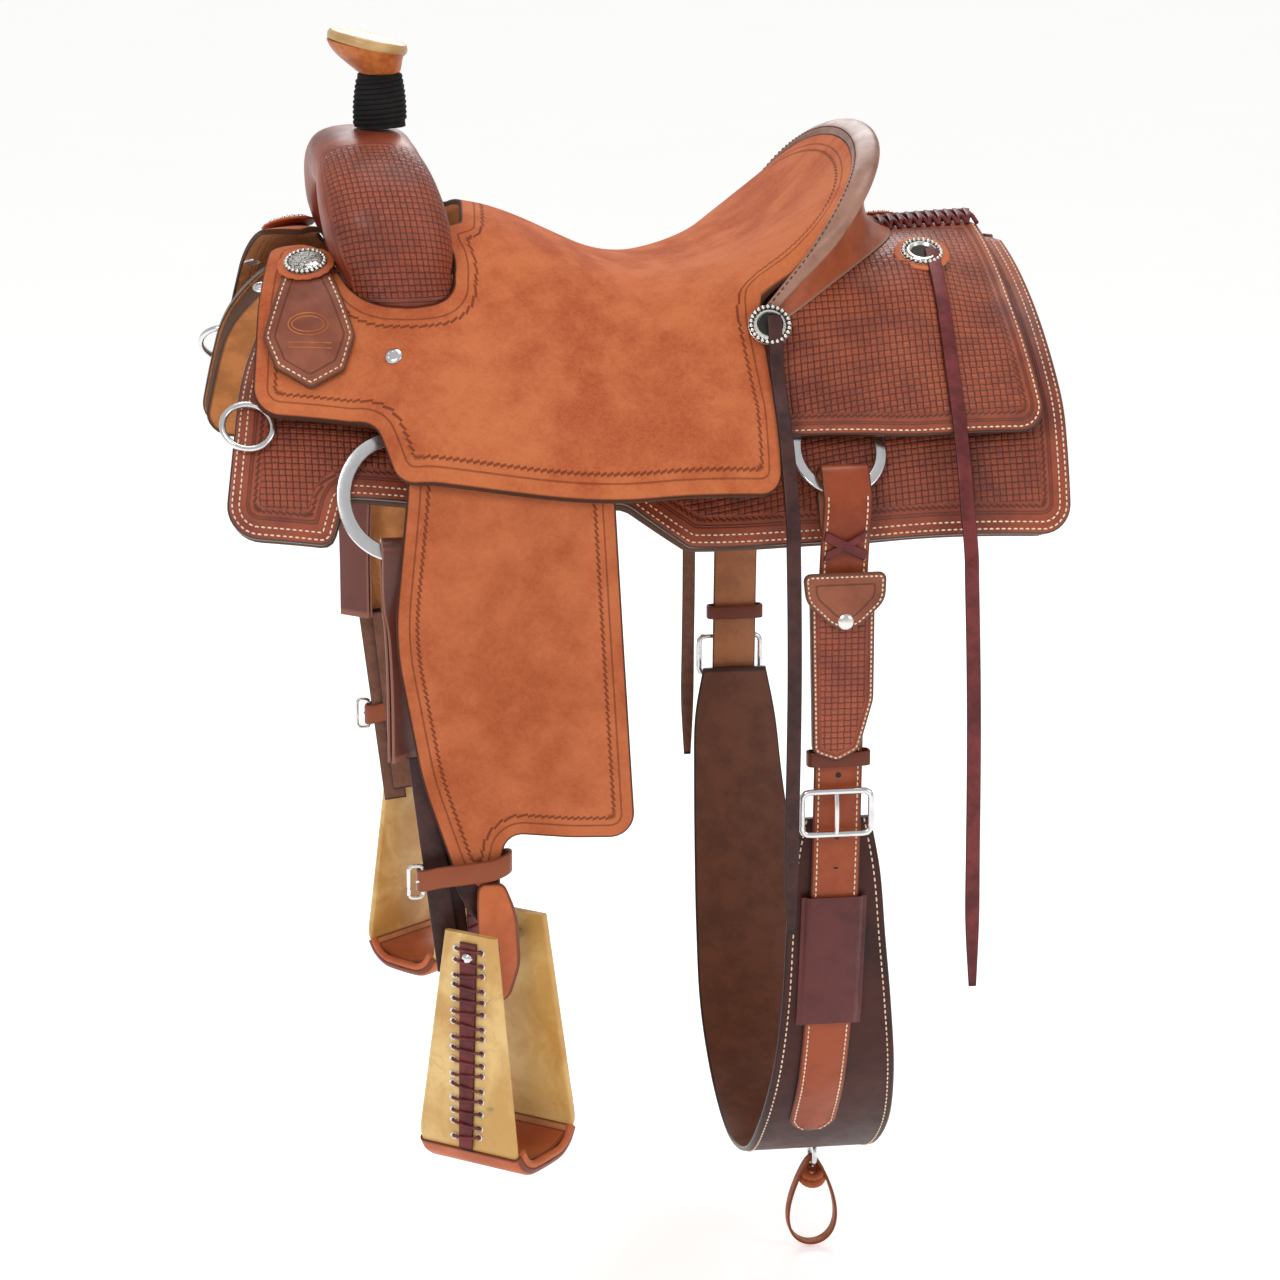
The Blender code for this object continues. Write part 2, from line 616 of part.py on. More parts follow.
def conchos(name, side):
    r, t = CONCHO_R, CONCHO_THICK
    profile = [(0, t), (0.55 * r, 0.92 * t), (0.85 * r, 0.55 * t), (r, 0.45 * t), (r, 0), (0, 0)]
    front = seat_point(-0.263, 0.087, SEAT_THICK + 0.0068, side)
    over = seat_point(-0.263, 0.087, SEAT_THICK + 0.0168, side)
    lathe(f"{name}_front_concho", profile, "silver", facing(front, over - front), steps=16)
    edge = Vector((0.006, 0, 0))
    middle = seat_point(0.118, 0.141, SEAT_THICK + 0.0060, side) + edge
    over = seat_point(0.118, 0.141, SEAT_THICK + 0.0160, side) + edge
    lathe(f"{name}_seat_concho", profile, "silver", facing(middle, over - middle), steps=16)
    lift = JOCKEY_TOP + 0.0035 + bars(0.272, 0.078)
    rear = drape(0.272, 0.078, lift, side)
    lathe(f"{name}_rear_concho", profile, "silver", facing(rear, normal_at(0.078, side)), steps=16)


def ring_point(x, s, half_x, half_s, low_top, low_bottom, angle, side, across=0.0, up=0.0):
    """A point on a flat ring that leans on the side: across is towards its outside."""
    top = drape(x, s - half_s, low_top, side)
    bottom = drape(x, s + half_s, low_bottom, side)
    down = (bottom - top).normalized()
    ahead = Vector((1, 0, 0))
    out = down.cross(ahead).normalized()
    if out.y * side < 0:
        out = -out
    middle = (top + bottom) / 2
    round_x, round_s = math.cos(angle), math.sin(angle)
    tall = (bottom - top).length / 2
    return (middle + ahead * (round_x * (half_x + across)) + down * (round_s * (tall + across))
            + out * up)


def flat_ring(name, place, width, steps):
    """A ring cut from plate: place(angle, across, up) gives its points."""
    half = width / 2
    sections = []
    for k in range(steps):
        a = 2 * math.pi * k / steps
        sections.append([place(a, half, RING_THICK / 2), place(a, -half, RING_THICK / 2),
                         place(a, -half, -RING_THICK / 2), place(a, half, -RING_THICK / 2)])
    add(name, loft(sections, closed=True), "silver")


def front_place(side):
    x, s, half_x, half_s, _ = FRONT_RING
    return lambda a, across, up: ring_point(x, s, half_x, half_s, 0.0338, 0.0264, a, side, across, up)


def rear_place(side):
    x, s, half_x, half_s, _ = REAR_RING
    return lambda a, across, up: ring_point(x, s, half_x, half_s, 0.0250, 0.0355, a, side, across, up)


def rings(name, side):
    flat_ring(f"{name}_front_ring", front_place(side), FRONT_RING[4], 24)
    flat_ring(f"{name}_rear_ring", rear_place(side), REAR_RING[4], 20)
    dee = []
    for k in range(16):
        a = 2 * math.pi * k / 16
        dee.append(drape(-0.321 + 0.021 * math.cos(a), 0.214 + 0.019 * math.sin(a), 0.0262, side))
    wire(f"{name}_breast_dee", dee, 0.0028, "silver")


# ---------------------------------------------------------------- straps
def hang(name, side, x_from, x_to, s_from, lift, drop_y, low_z, width, thick, slot, s_leave=0.27):
    """A strap that runs down the side of the saddle and then hangs free."""
    line = []
    steps = 7
    for k in range(steps + 1):
        t = k / steps
        s = s_from + (s_leave - s_from) * t
        line.append(drape(x_from, s, lift(x_from, s) if callable(lift) else lift, side))
    start = line[-1]
    for k in range(1, 5):
        t = k / 4
        y = start.y + (side * drop_y - start.y) * math.sin(math.pi / 2 * t)
        line.append(Vector((x_from, y, start.z - 0.055 * t)))
    bottom = line[-1].z
    for k in range(1, 5):
        t = k / 4
        line.append(Vector((x_from + (x_to - x_from) * t, side * drop_y, bottom + (low_z - bottom) * t)))
    stations = []
    for i, point in enumerate(line):
        a, b = line[max(i - 1, 0)], line[min(i + 1, len(line) - 1)]
        along = (b - a).normalized()
        across = Vector((1, 0, 0)) - along * along.x
        normal = along.cross(across).normalized()
        stations.append((point, across.normalized() * width / 2, normal * thick / 2))
    return add(name, ribbon(stations), slot)


def loop_strap(name, side, pivot, away, length, gap, rest, width, thick, twist, slot):
    """A strap folded round a bar: away is 1 for a loop over the bar, -1 for one under it.

    gap is the fold's half opening at the bar, rest the half opening further on, and
    twist(d) the turn of the strap about its length at distance d from the bar.
    """
    pivot = Vector(pivot)
    path = []
    for d in (length, 0.66 * length, 0.40 * length, 0.26 * length, 0.13 * length, 0.0):
        near_bar = 1 - smooth_step(0.05, 0.25, d / length)
        path.append((d, -(rest + (gap - rest) * near_bar)))
    for k in range(1, 4):
        a = math.pi * k / 4
        path.append((-gap * math.sin(a), -gap * math.cos(a)))
    path += [(d, -off) for d, off in path[5::-1]]
    stations = []
    for i, (d, off) in enumerate(path):
        turn = twist(max(d, 0.0)) * (-side)
        across = Vector((math.cos(turn), math.sin(turn), 0))
        face = Vector((-math.sin(turn), math.cos(turn), 0))
        centre = pivot + Vector((0, 0, -away * d)) + face * off
        before, after = path[max(i - 1, 0)], path[min(i + 1, len(path) - 1)]
        along = Vector((0, 0, -away * (after[0] - before[0]))) + face * (after[1] - before[1])
        normal = along.cross(across).normalized()
        stations.append((centre, across * width / 2, normal * thick / 2))
    return add(name, ribbon(stations), slot)


def leg(name, side):
    """Fender, stirrup leather, hobble strap and stirrup of one side."""
    plate(f"{name}_fender", rounded(FENDER), FENDER_IN, FENDER_OUT, side, "rough_out")

    stirrup = Vector((STIRRUP_X, side * STIRRUP_Y, BOLT_Z))
    top = Vector((HANG_X, side * LEATHER_MID, HANG_Z))
    path = [(-0.112, -0.112, 0.0, 0.068), (-0.116, -0.250, 0.0, 0.066), (-0.130, -0.360, 0.0, 0.060),
            (-0.141, -0.415, 0.0, 0.044), (-0.140, -0.442, 0.0, 0.040), (-0.132, -0.462, 0.55, 0.038),
            (STIRRUP_X, -0.480, 1.0, 0.036), (STIRRUP_X, -0.488, 1.0, 0.036)]
    stations = []
    for x, z, turned, width in path:
        centre = Vector((x, top.y + (stirrup.y - top.y) * turned, z))
        turn = STIRRUP_TURN * turned * (-side)
        across = Vector((math.cos(turn), math.sin(turn), 0))
        face = Vector((-math.sin(turn), math.cos(turn), 0))
        stations.append((centre, across * width / 2, face * LEATHER_THICK / 2))
    eye = BOLT_R + 0.0012
    face = Vector((math.sin(STIRRUP_TURN) * side, math.cos(STIRRUP_TURN), 0))
    across = Vector((math.cos(STIRRUP_TURN), -math.sin(STIRRUP_TURN) * side, 0))
    bm = ribbon(stations)
    strap = add(f"{name}_stirrup_leather", bm, "bridle")
    ring_points = []
    for k in range(12):
        a = 2 * math.pi * k / 12
        ring_points.append(face * math.cos(a) + Vector((0, 0, 1)) * math.sin(a))
    sections = []
    for direction in ring_points:
        mid = stirrup + direction * (eye + 0.0025)
        wide, deep = across * 0.018, direction * 0.0025
        sections.append([mid + wide + deep, mid - wide + deep, mid - wide - deep, mid + wide - deep])
    eye_mesh = loft(sections, closed=True)
    bmesh.ops.recalc_face_normals(eye_mesh, faces=eye_mesh.faces)
    mesh = bpy.data.meshes.new(f"{name}_leather_eye")
    eye_mesh.to_mesh(mesh)
    eye_mesh.free()
    cutter = bpy.data.objects.new(f"{name}_leather_eye", mesh)
    cutter.hide_render = True
    cutter.display_type = "WIRE"
    CUTTERS.objects.link(cutter)
    join = strap.modifiers.new("eye", "BOOLEAN")
    join.operation = "UNION"
    join.object = cutter

    strap_stations = []
    low, high = Vector((-0.151, 0, -0.4290)), 0.0395
    for k in range(20):
        a = 2 * math.pi * k / 20
        out_x, out_y = high * math.cos(a), 0.0132 * math.sin(a)
        squash = abs(math.cos(a)) ** 0.5
        centre = Vector((low.x + math.copysign(high * squash, out_x), side * (0.2645 + out_y),
                         low.z + 0.10 * out_x))
        outward = Vector((out_x / high * 0.6, side * out_y / 0.0132, 0)).normalized()
        strap_stations.append((centre, Vector((0, 0, 0.0095)), outward * 0.0014))
    add(f"{name}_hobble_strap", ribbon(strap_stations, closed=True), "bridle")
    stirrup_frame(name, side)


def stirrup_place(side, along, across, z):
    """Stirrup coordinates: along the bolt (+ towards the far panel), across it, and up."""
    bolt = Vector((math.cos(STIRRUP_TURN), -side * math.sin(STIRRUP_TURN), 0))
    cross = Vector((side * math.sin(STIRRUP_TURN), math.cos(STIRRUP_TURN), 0))
    if side == NEAR:
        bolt = Vector((math.cos(STIRRUP_TURN), math.sin(STIRRUP_TURN), 0))
        cross = Vector((-math.sin(STIRRUP_TURN), math.cos(STIRRUP_TURN), 0))
    return Vector((STIRRUP_X, side * STIRRUP_Y, z)) + bolt * along + cross * across


def stirrup_frame(name, side):
    """A rawhide covered stirrup: two panels joined by the tread, with the bolt across."""
    wall = 0.0060
    path = []
    for k in range(6):
        t = k / 5
        path.append((-0.038 - 0.007 * t, STIRRUP_TOP_Z + (-0.655 - STIRRUP_TOP_Z) * t, 0.026 + 0.023 * t))
    for a in (30, 60, 90):
        angle = math.radians(a)
        path.append((-0.045 + 0.030 * (1 - math.cos(angle)), -0.655 - 0.030 * math.sin(angle), 0.049))
    path += [(-u, z, w) for u, z, w in reversed(path)]
    sections = []
    for i, (u, z, w) in enumerate(path):
        a, b = path[max(i - 1, 0)], path[min(i + 1, len(path) - 1)]
        along = Vector((b[0] - a[0], b[1] - a[1])).normalized()
        inward = Vector((-along.y, along.x))
        ring = []
        for cross, deep in ((-w, 0.25), (-w * 0.8, 0.0), (w * 0.8, 0.0), (w, 0.25), (w, 0.75), (w * 0.8, 1.0),
                            (-w * 0.8, 1.0), (-w, 0.75)):
            off = inward * (deep - 0.5) * wall
            ring.append(stirrup_place(side, u + off.x, cross, z + off.y))
        sections.append(ring)
    body = add(f"{name}_stirrup", loft(sections), "rawhide")
    bolt_rings = []
    turns = [2 * math.pi * k / 12 for k in range(12)]
    for end in (-0.0385, 0.0385):
        bolt_rings.append([stirrup_place(side, end, BOLT_R * math.cos(a), BOLT_Z + BOLT_R * math.sin(a))
                           for a in turns])
    bm = loft(bolt_rings)
    bmesh.ops.recalc_face_normals(bm, faces=bm.faces)
    mesh = bpy.data.meshes.new(f"{name}_bolt")
    bm.to_mesh(mesh)
    bm.free()
    cutter = bpy.data.objects.new(f"{name}_bolt", mesh)
    cutter.hide_render = True
    cutter.display_type = "WIRE"
    CUTTERS.objects.link(cutter)
    join = body.modifiers.new("bolt", "BOOLEAN")
    join.operation = "UNION"
    join.object = cutter

    pad = []
    half_pad = [(0.0380, -0.6640, -0.6675), (0.0330, -0.6705, -0.6738), (0.0250, -0.6755, -0.6788),
                (0.0150, -0.6775, -0.6812)]
    w = 0.047
    for u, top_z, low_z in [(-u, t, b) for u, t, b in half_pad] + half_pad[::-1]:
        pad.append([stirrup_place(side, u, -w, top_z), stirrup_place(side, u, w, top_z),
                    stirrup_place(side, u, w, low_z), stirrup_place(side, u, -w, low_z)])
    add(f"{name}_stirrup_tread", loft(pad), "bridle")


CINCH_LINE = [(0.2530, -0.400, 0.031), (0.2520, -0.450, 0.040), (0.2470, -0.510, 0.044),
              (0.2350, -0.580, 0.049), (0.2080, -0.650, 0.055), (0.1600, -0.715, 0.060),
              (0.0900, -0.765, 0.060), (0.0, -0.785, 0.060)]


def cinch_lean(z):
    return 0.170 + 0.012 * smooth_step(0.40, 0.72, -z)


def strap_stations(path, side, half, thick):
    """Stations of a strap whose width is along X, from its (x, y, z) points."""
    stations = []
    for i, (x, y, z) in enumerate(path):
        a, b = path[max(i - 1, 0)], path[min(i + 1, len(path) - 1)]
        along = Vector((0, side * (b[1] - a[1]), b[2] - a[2])).normalized()
        normal = along.cross(Vector((1, 0, 0))).normalized()
        stations.append((Vector((x, side * y, z)), Vector((half, 0, 0)), normal * thick / 2))
    return stations


def flank_rig():
    """Rear billets, buckles and the flank cinch that hangs between them."""
    x, s, _, half_s, _ = REAR_RING
    for name, side in SIDES:
        over_bar = [(0.300, 0.0238), (0.268, 0.0238), (0.2560, 0.0250), (0.2525, 0.0350), (0.2560, 0.0455),
                    (0.268, 0.0485), (0.285, 0.0475)]
        path = [(x, abs(drape(x, at, lift, side).y), drape(x, at, lift, side).z) for at, lift in over_bar]
        path += [(x - 0.003, 0.2600, -0.170), (x - 0.005, 0.2600, -0.250), (x - 0.007, 0.2600, -0.430)]
        for i in range(2, 6):
            (y0, z0, _), (y1, z1, _) = CINCH_LINE[i - 1], CINCH_LINE[min(i + 1, 6)]
            out = Vector((z0 - z1, y0 - y1)).normalized() * 0.0065
            y, z, _ = CINCH_LINE[i]
            path.append((x - 0.008, y + out.x, z - out.y))
        add(f"{name}_flank_billet", ribbon(strap_stations(path, side, BILLET_WIDTH / 2, 0.0036)), "bridle")
        corners = rounded([(-0.030, -0.021, 0.006), (0.030, -0.021, 0.006), (0.030, 0.017, 0.006),
                           (-0.030, 0.017, 0.006)])
        frame = [Vector((0.168 + u, side * 0.2705, -0.389 + v)) for u, v in corners]
        wire(f"{name}_flank_buckle", frame, 0.0028, "silver")

    stations = []
    whole = [(-y, z, w) for y, z, w in CINCH_LINE] + [(y, z, w) for y, z, w in CINCH_LINE[-2::-1]]
    for i, (y, z, w) in enumerate(whole):
        a, b = whole[max(i - 1, 0)], whole[min(i + 1, len(whole) - 1)]
        along = Vector((0, b[0] - a[0], b[1] - a[1])).normalized()
        normal = along.cross(Vector((1, 0, 0))).normalized()
        stations.append((Vector((cinch_lean(z), y, z)), Vector((w, 0, 0)), normal * 0.0024))
    add("flank_cinch", ribbon(stations), "latigo")


def flank_fittings():
    """The sheath on the near billet, its flap, and what hangs under the cinch."""
    outline = rounded([(0.143, -0.186, 0.004), (0.199, -0.186, 0.004), (0.199, -0.292, 0.03),
                       (0.187, -0.336, 0.01), (0.168, -0.346, 0.008), (0.147, -0.338, 0.008)])
    plate("knife_sheath", outline, 0.2628, 0.2700, NEAR, "tooled")
    flap = rounded([(0.136, -0.180, 0.006), (0.208, -0.180, 0.006), (0.207, -0.205, 0.02),
                    (0.173, -0.238, 0.025), (0.139, -0.205, 0.02)])
    plate("sheath_flap", flap, 0.2714, 0.2744, NEAR, "tooled")

    turns = [2 * math.pi * k / 14 for k in range(14)]
    dee = [Vector((0.203, 0.0135 * math.cos(a), -0.8065 + 0.0135 * math.sin(a))) for a in turns]
    wire("cinch_dee", dee, 0.0024, "silver")
    stations = []
    for k in range(18):
        a = 2 * math.pi * (k + 0.5) / 18
        u = 0.021 * math.sin(a) * (1 - 0.45 * math.cos(a))
        v = -0.8560 + 0.0430 * math.cos(a)
        outward = Vector((math.sin(a), 0, math.cos(a)))
        stations.append((Vector((0.203 + u, 0, v)), Vector((0, 0.0065, 0)), outward * 0.0014))
    add("connector_strap", ribbon(stations, closed=True), "bridle")


def rigging_straps():
    """The near latigo and the off billet, folded over the front rings."""
    for name, side in (("latigo", NEAR), ("off_billet", OFF)):
        bar = front_place(side)(math.pi / 2, 0.0, 0.0) + Vector((0, 0, 0.002))

        def twist(d):
            return math.radians(42) * smooth_step(0.020, 0.090, d)
        loop_strap(name, side, bar, 1, 0.178, 0.0115, 0.0024, 0.034, 0.0030, twist, "latigo")


def saddle_strings():
    for name, side in SIDES:
        def over_seat(x, s):
            return SEAT_LOW + SEAT_THICK + bars(x, s) + flare(x, s) + 0.0040
        hang(f"{name}_seat_string", side, 0.127, 0.129, 0.166, over_seat, 0.2795, -0.494, STRING_WIDTH,
             STRING_THICK, "latigo", s_leave=0.262)

        def over_jockey(x, s):
            return JOCKEY_TOP + bars(x, s) + 0.0030
        hang(f"{name}_rear_string", side, 0.280, 0.289, 0.104, over_jockey, 0.2795, -0.550, STRING_WIDTH,
             STRING_THICK, "latigo", s_leave=0.30)


# ---------------------------------------------------------------- build
seat()
for side_name, side_sign in SIDES:
    side_leathers(side_name, side_sign)
    tree_bar(side_name, side_sign)
    conchos(side_name, side_sign)
    rings(side_name, side_sign)
    leg(side_name, side_sign)
fork()
horn()
cantle()
flank_rig()
flank_fittings()
rigging_straps()
saddle_strings()
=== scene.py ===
"""Looks of the western saddle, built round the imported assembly.

Metres, in the frame of the assembly: -X is the front, -Y the near side, +Z up.
Each leather is cut flat, with the distance to its edge kept on the mesh, so that its
material knows where the burnished edge, the creases and the tooling go.
"""

import math

import bpy
import numpy as np
from mathutils import Matrix, Vector
from mathutils.geometry import delaunay_2d_cdt


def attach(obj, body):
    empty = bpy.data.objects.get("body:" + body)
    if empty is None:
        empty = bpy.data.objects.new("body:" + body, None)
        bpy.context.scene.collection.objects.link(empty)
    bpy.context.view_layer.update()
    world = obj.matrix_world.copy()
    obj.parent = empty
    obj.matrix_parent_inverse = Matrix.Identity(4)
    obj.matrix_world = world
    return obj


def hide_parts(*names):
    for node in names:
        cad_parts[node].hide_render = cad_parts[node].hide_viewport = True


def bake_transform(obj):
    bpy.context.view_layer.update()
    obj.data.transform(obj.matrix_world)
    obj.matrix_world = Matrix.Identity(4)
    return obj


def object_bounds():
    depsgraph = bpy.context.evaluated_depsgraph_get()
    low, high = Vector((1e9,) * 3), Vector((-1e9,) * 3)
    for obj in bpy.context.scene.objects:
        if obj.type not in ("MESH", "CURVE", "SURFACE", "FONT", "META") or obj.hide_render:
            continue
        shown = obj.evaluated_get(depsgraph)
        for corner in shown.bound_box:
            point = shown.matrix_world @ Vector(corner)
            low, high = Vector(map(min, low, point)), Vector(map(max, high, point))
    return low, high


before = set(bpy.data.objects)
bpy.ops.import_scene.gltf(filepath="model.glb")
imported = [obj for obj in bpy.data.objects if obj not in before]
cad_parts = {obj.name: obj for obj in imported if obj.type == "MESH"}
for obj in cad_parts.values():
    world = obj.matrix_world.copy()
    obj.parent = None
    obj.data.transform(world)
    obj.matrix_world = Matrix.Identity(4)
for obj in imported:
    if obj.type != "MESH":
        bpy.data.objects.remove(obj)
CAD_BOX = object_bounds()

# ---------------------------------------------------------------- camera, light and floor
CAMERA_AZIMUTH, CAMERA_ELEVATION = math.radians(-8.5), math.radians(14.5)
CAMERA_DISTANCE = 3.4
CAMERA_TARGET = Vector((0.0, -0.26, -0.235))
CAMERA_LENS = 113.8
FLOOR_DROP = 0.004        # the floor lies this far under the saddle
FLOOR_HALF = 40
FLOOR_GLOW = 0.42         # keeps the floor pale away from the lights
SKY_LIGHT, SKY_SEEN = 0.60, 1.0    # the sky's strength as light, and where it shows
LAMPS = (("key", (-1.6, -2.6, 2.2), 1.3, 36.0), ("fill", (2.4, -2.0, 1.0), 1.6, 12.0),
         ("top", (0.3, 0.4, 2.6), 1.6, 26.0), ("back", (0.4, 2.8, 1.4), 1.6, 24.0))
LAMP_AIM = Vector((0, 0, -0.2))


def camera_and_stage():
    back = Vector((math.sin(CAMERA_AZIMUTH) * math.cos(CAMERA_ELEVATION),
                   -math.cos(CAMERA_AZIMUTH) * math.cos(CAMERA_ELEVATION), math.sin(CAMERA_ELEVATION)))
    data = bpy.data.cameras.new("camera")
    data.lens = CAMERA_LENS
    data.sensor_width = 36
    camera = bpy.data.objects.new("camera", data)
    camera.location = CAMERA_TARGET + back * CAMERA_DISTANCE
    camera.rotation_euler = back.to_track_quat("Z", "Y").to_euler()
    bpy.context.collection.objects.link(camera)
    bpy.context.scene.camera = camera
    bpy.context.scene.view_settings.view_transform = "Standard"

    floor_z = CAD_BOX[0][2] - FLOOR_DROP
    mesh = bpy.data.meshes.new("floor")
    corners = ((-1, -1), (1, -1), (1, 1), (-1, 1))
    mesh.from_pydata([(x * FLOOR_HALF, y * FLOOR_HALF, floor_z) for x, y in corners], [], [(0, 1, 2, 3)])
    floor = bpy.data.objects.new("floor", mesh)
    bpy.context.collection.objects.link(floor)
    shader = Shader("floor", 0.75)
    speckle = shader.noise(3.0, 2.0)
    shader.colour(shader.mix(speckle, (0.90, 0.90, 0.895, 1), (0.93, 0.93, 0.925, 1)))
    shader.set(Emission_Color=(1, 1, 1, 1), Emission_Strength=FLOOR_GLOW)
    mesh.materials.append(shader.done())

    world = bpy.data.worlds.new("studio")
    world.use_nodes = True
    nodes, links = world.node_tree.nodes, world.node_tree.links
    sky = nodes["Background"].inputs
    sky["Color"].default_value = (1.0, 0.995, 0.985, 1)
    sky["Strength"].default_value = SKY_LIGHT
    seen, level = nodes.new("ShaderNodeLightPath"), nodes.new("ShaderNodeMapRange")
    level.inputs["To Min"].default_value, level.inputs["To Max"].default_value = SKY_LIGHT, SKY_SEEN
    links.new(seen.outputs["Is Camera Ray"], level.inputs["Value"])
    links.new(level.outputs["Result"], sky["Strength"])
    bpy.context.scene.world = world
    for name, place, size, power in LAMPS:
        light = bpy.data.lights.new(name, "AREA")
        light.shape = "DISK"
        light.size = size
        light.energy = power
        lamp = bpy.data.objects.new(name, light)
        lamp.location = place
        lamp.rotation_euler = (Vector(place) - LAMP_AIM).to_track_quat("Z", "Y").to_euler()
        bpy.context.collection.objects.link(lamp)


# ---------------------------------------------------------------- materials
BURNT_EDGE = (0.030, 0.014, 0.009)


def srgb(red, green, blue):
    """Linear colour from 0-255 display values."""
    return tuple(round((c / 255 / 12.92) if c <= 10 else ((c / 255 + 0.055) / 1.055) ** 2.4, 4)
                 for c in (red, green, blue))


class Shader:
    """A material whose nodes are added by short calls."""

    def __init__(self, name, rough, metal=0.0):
        self.material = bpy.data.materials.new("look_" + name)
        self.material.use_nodes = True
        self.tree = self.material.node_tree
        self.bsdf = self.tree.nodes["Principled BSDF"]
        self.bsdf.inputs["Roughness"].default_value = rough
        self.bsdf.inputs["Metallic"].default_value = metal
        self.where = self.add("ShaderNodeTexCoord").outputs["Object"]

    def add(self, kind, inputs=None, **settings):
        node = self.tree.nodes.new(kind)
        for key, value in settings.items():
            setattr(node, key, value)
        for key, value in (inputs or {}).items():
            self.feed(node.inputs[key], value)
        return node

    def feed(self, socket, value):
        if isinstance(value, bpy.types.NodeSocket):
            self.tree.links.new(value, socket)
        else:
            socket.default_value = value

    def math(self, operation, a, b=0.0):
        return self.add("ShaderNodeMath", {0: a, 1: b}, operation=operation).outputs[0]

    def ramp(self, value, low, high, to_low=0.0, to_high=1.0):
        return self.add("ShaderNodeMapRange", {"Value": value, "From Min": low, "From Max": high,
                                               "To Min": to_low, "To Max": to_high},
                        interpolation_type="SMOOTHSTEP").outputs[0]

    def mix(self, factor, a, b):
        node = self.add("ShaderNodeMix", data_type="RGBA")
        for index, value in ((0, factor), (6, a), (7, b)):
            self.feed(node.inputs[index], value)
        return node.outputs[2]

    def noise(self, scale, detail=2.0, rough=0.5, distort=0.0):
        return self.add("ShaderNodeTexNoise", {"Vector": self.where, "Scale": scale, "Detail": detail,
                                               "Roughness": rough, "Distortion": distort}).outputs[0]

    def attribute(self, name):
        return self.add("ShaderNodeAttribute", attribute_name=name)

    def line(self, value, at, half):
        """1 on a line where value is at, 0 further than half from it."""
        away = self.math("ABSOLUTE", self.math("SUBTRACT", value, at))
        return self.ramp(away, half * 0.3, half, 1.0, 0.0)

    def colour(self, value):
        self.feed(self.bsdf.inputs["Base Color"], value)

    def rough(self, value):
        self.feed(self.bsdf.inputs["Roughness"], value)

    def relief(self, height_mm, strength=1.0):
        bump = self.add("ShaderNodeBump", {"Height": height_mm, "Strength": strength, "Distance": 0.001})
        self.feed(self.bsdf.inputs["Normal"], bump.outputs[0])

    def set(self, **values):
        for key, value in values.items():
            self.bsdf.inputs[key.replace("_", " ")].default_value = value

    def done(self):
        return self.material


BASKET_CELL = 0.0056      # one bar of the basket stamp
ROPE_PITCH = 0.0056       # one mark of the rope stamp


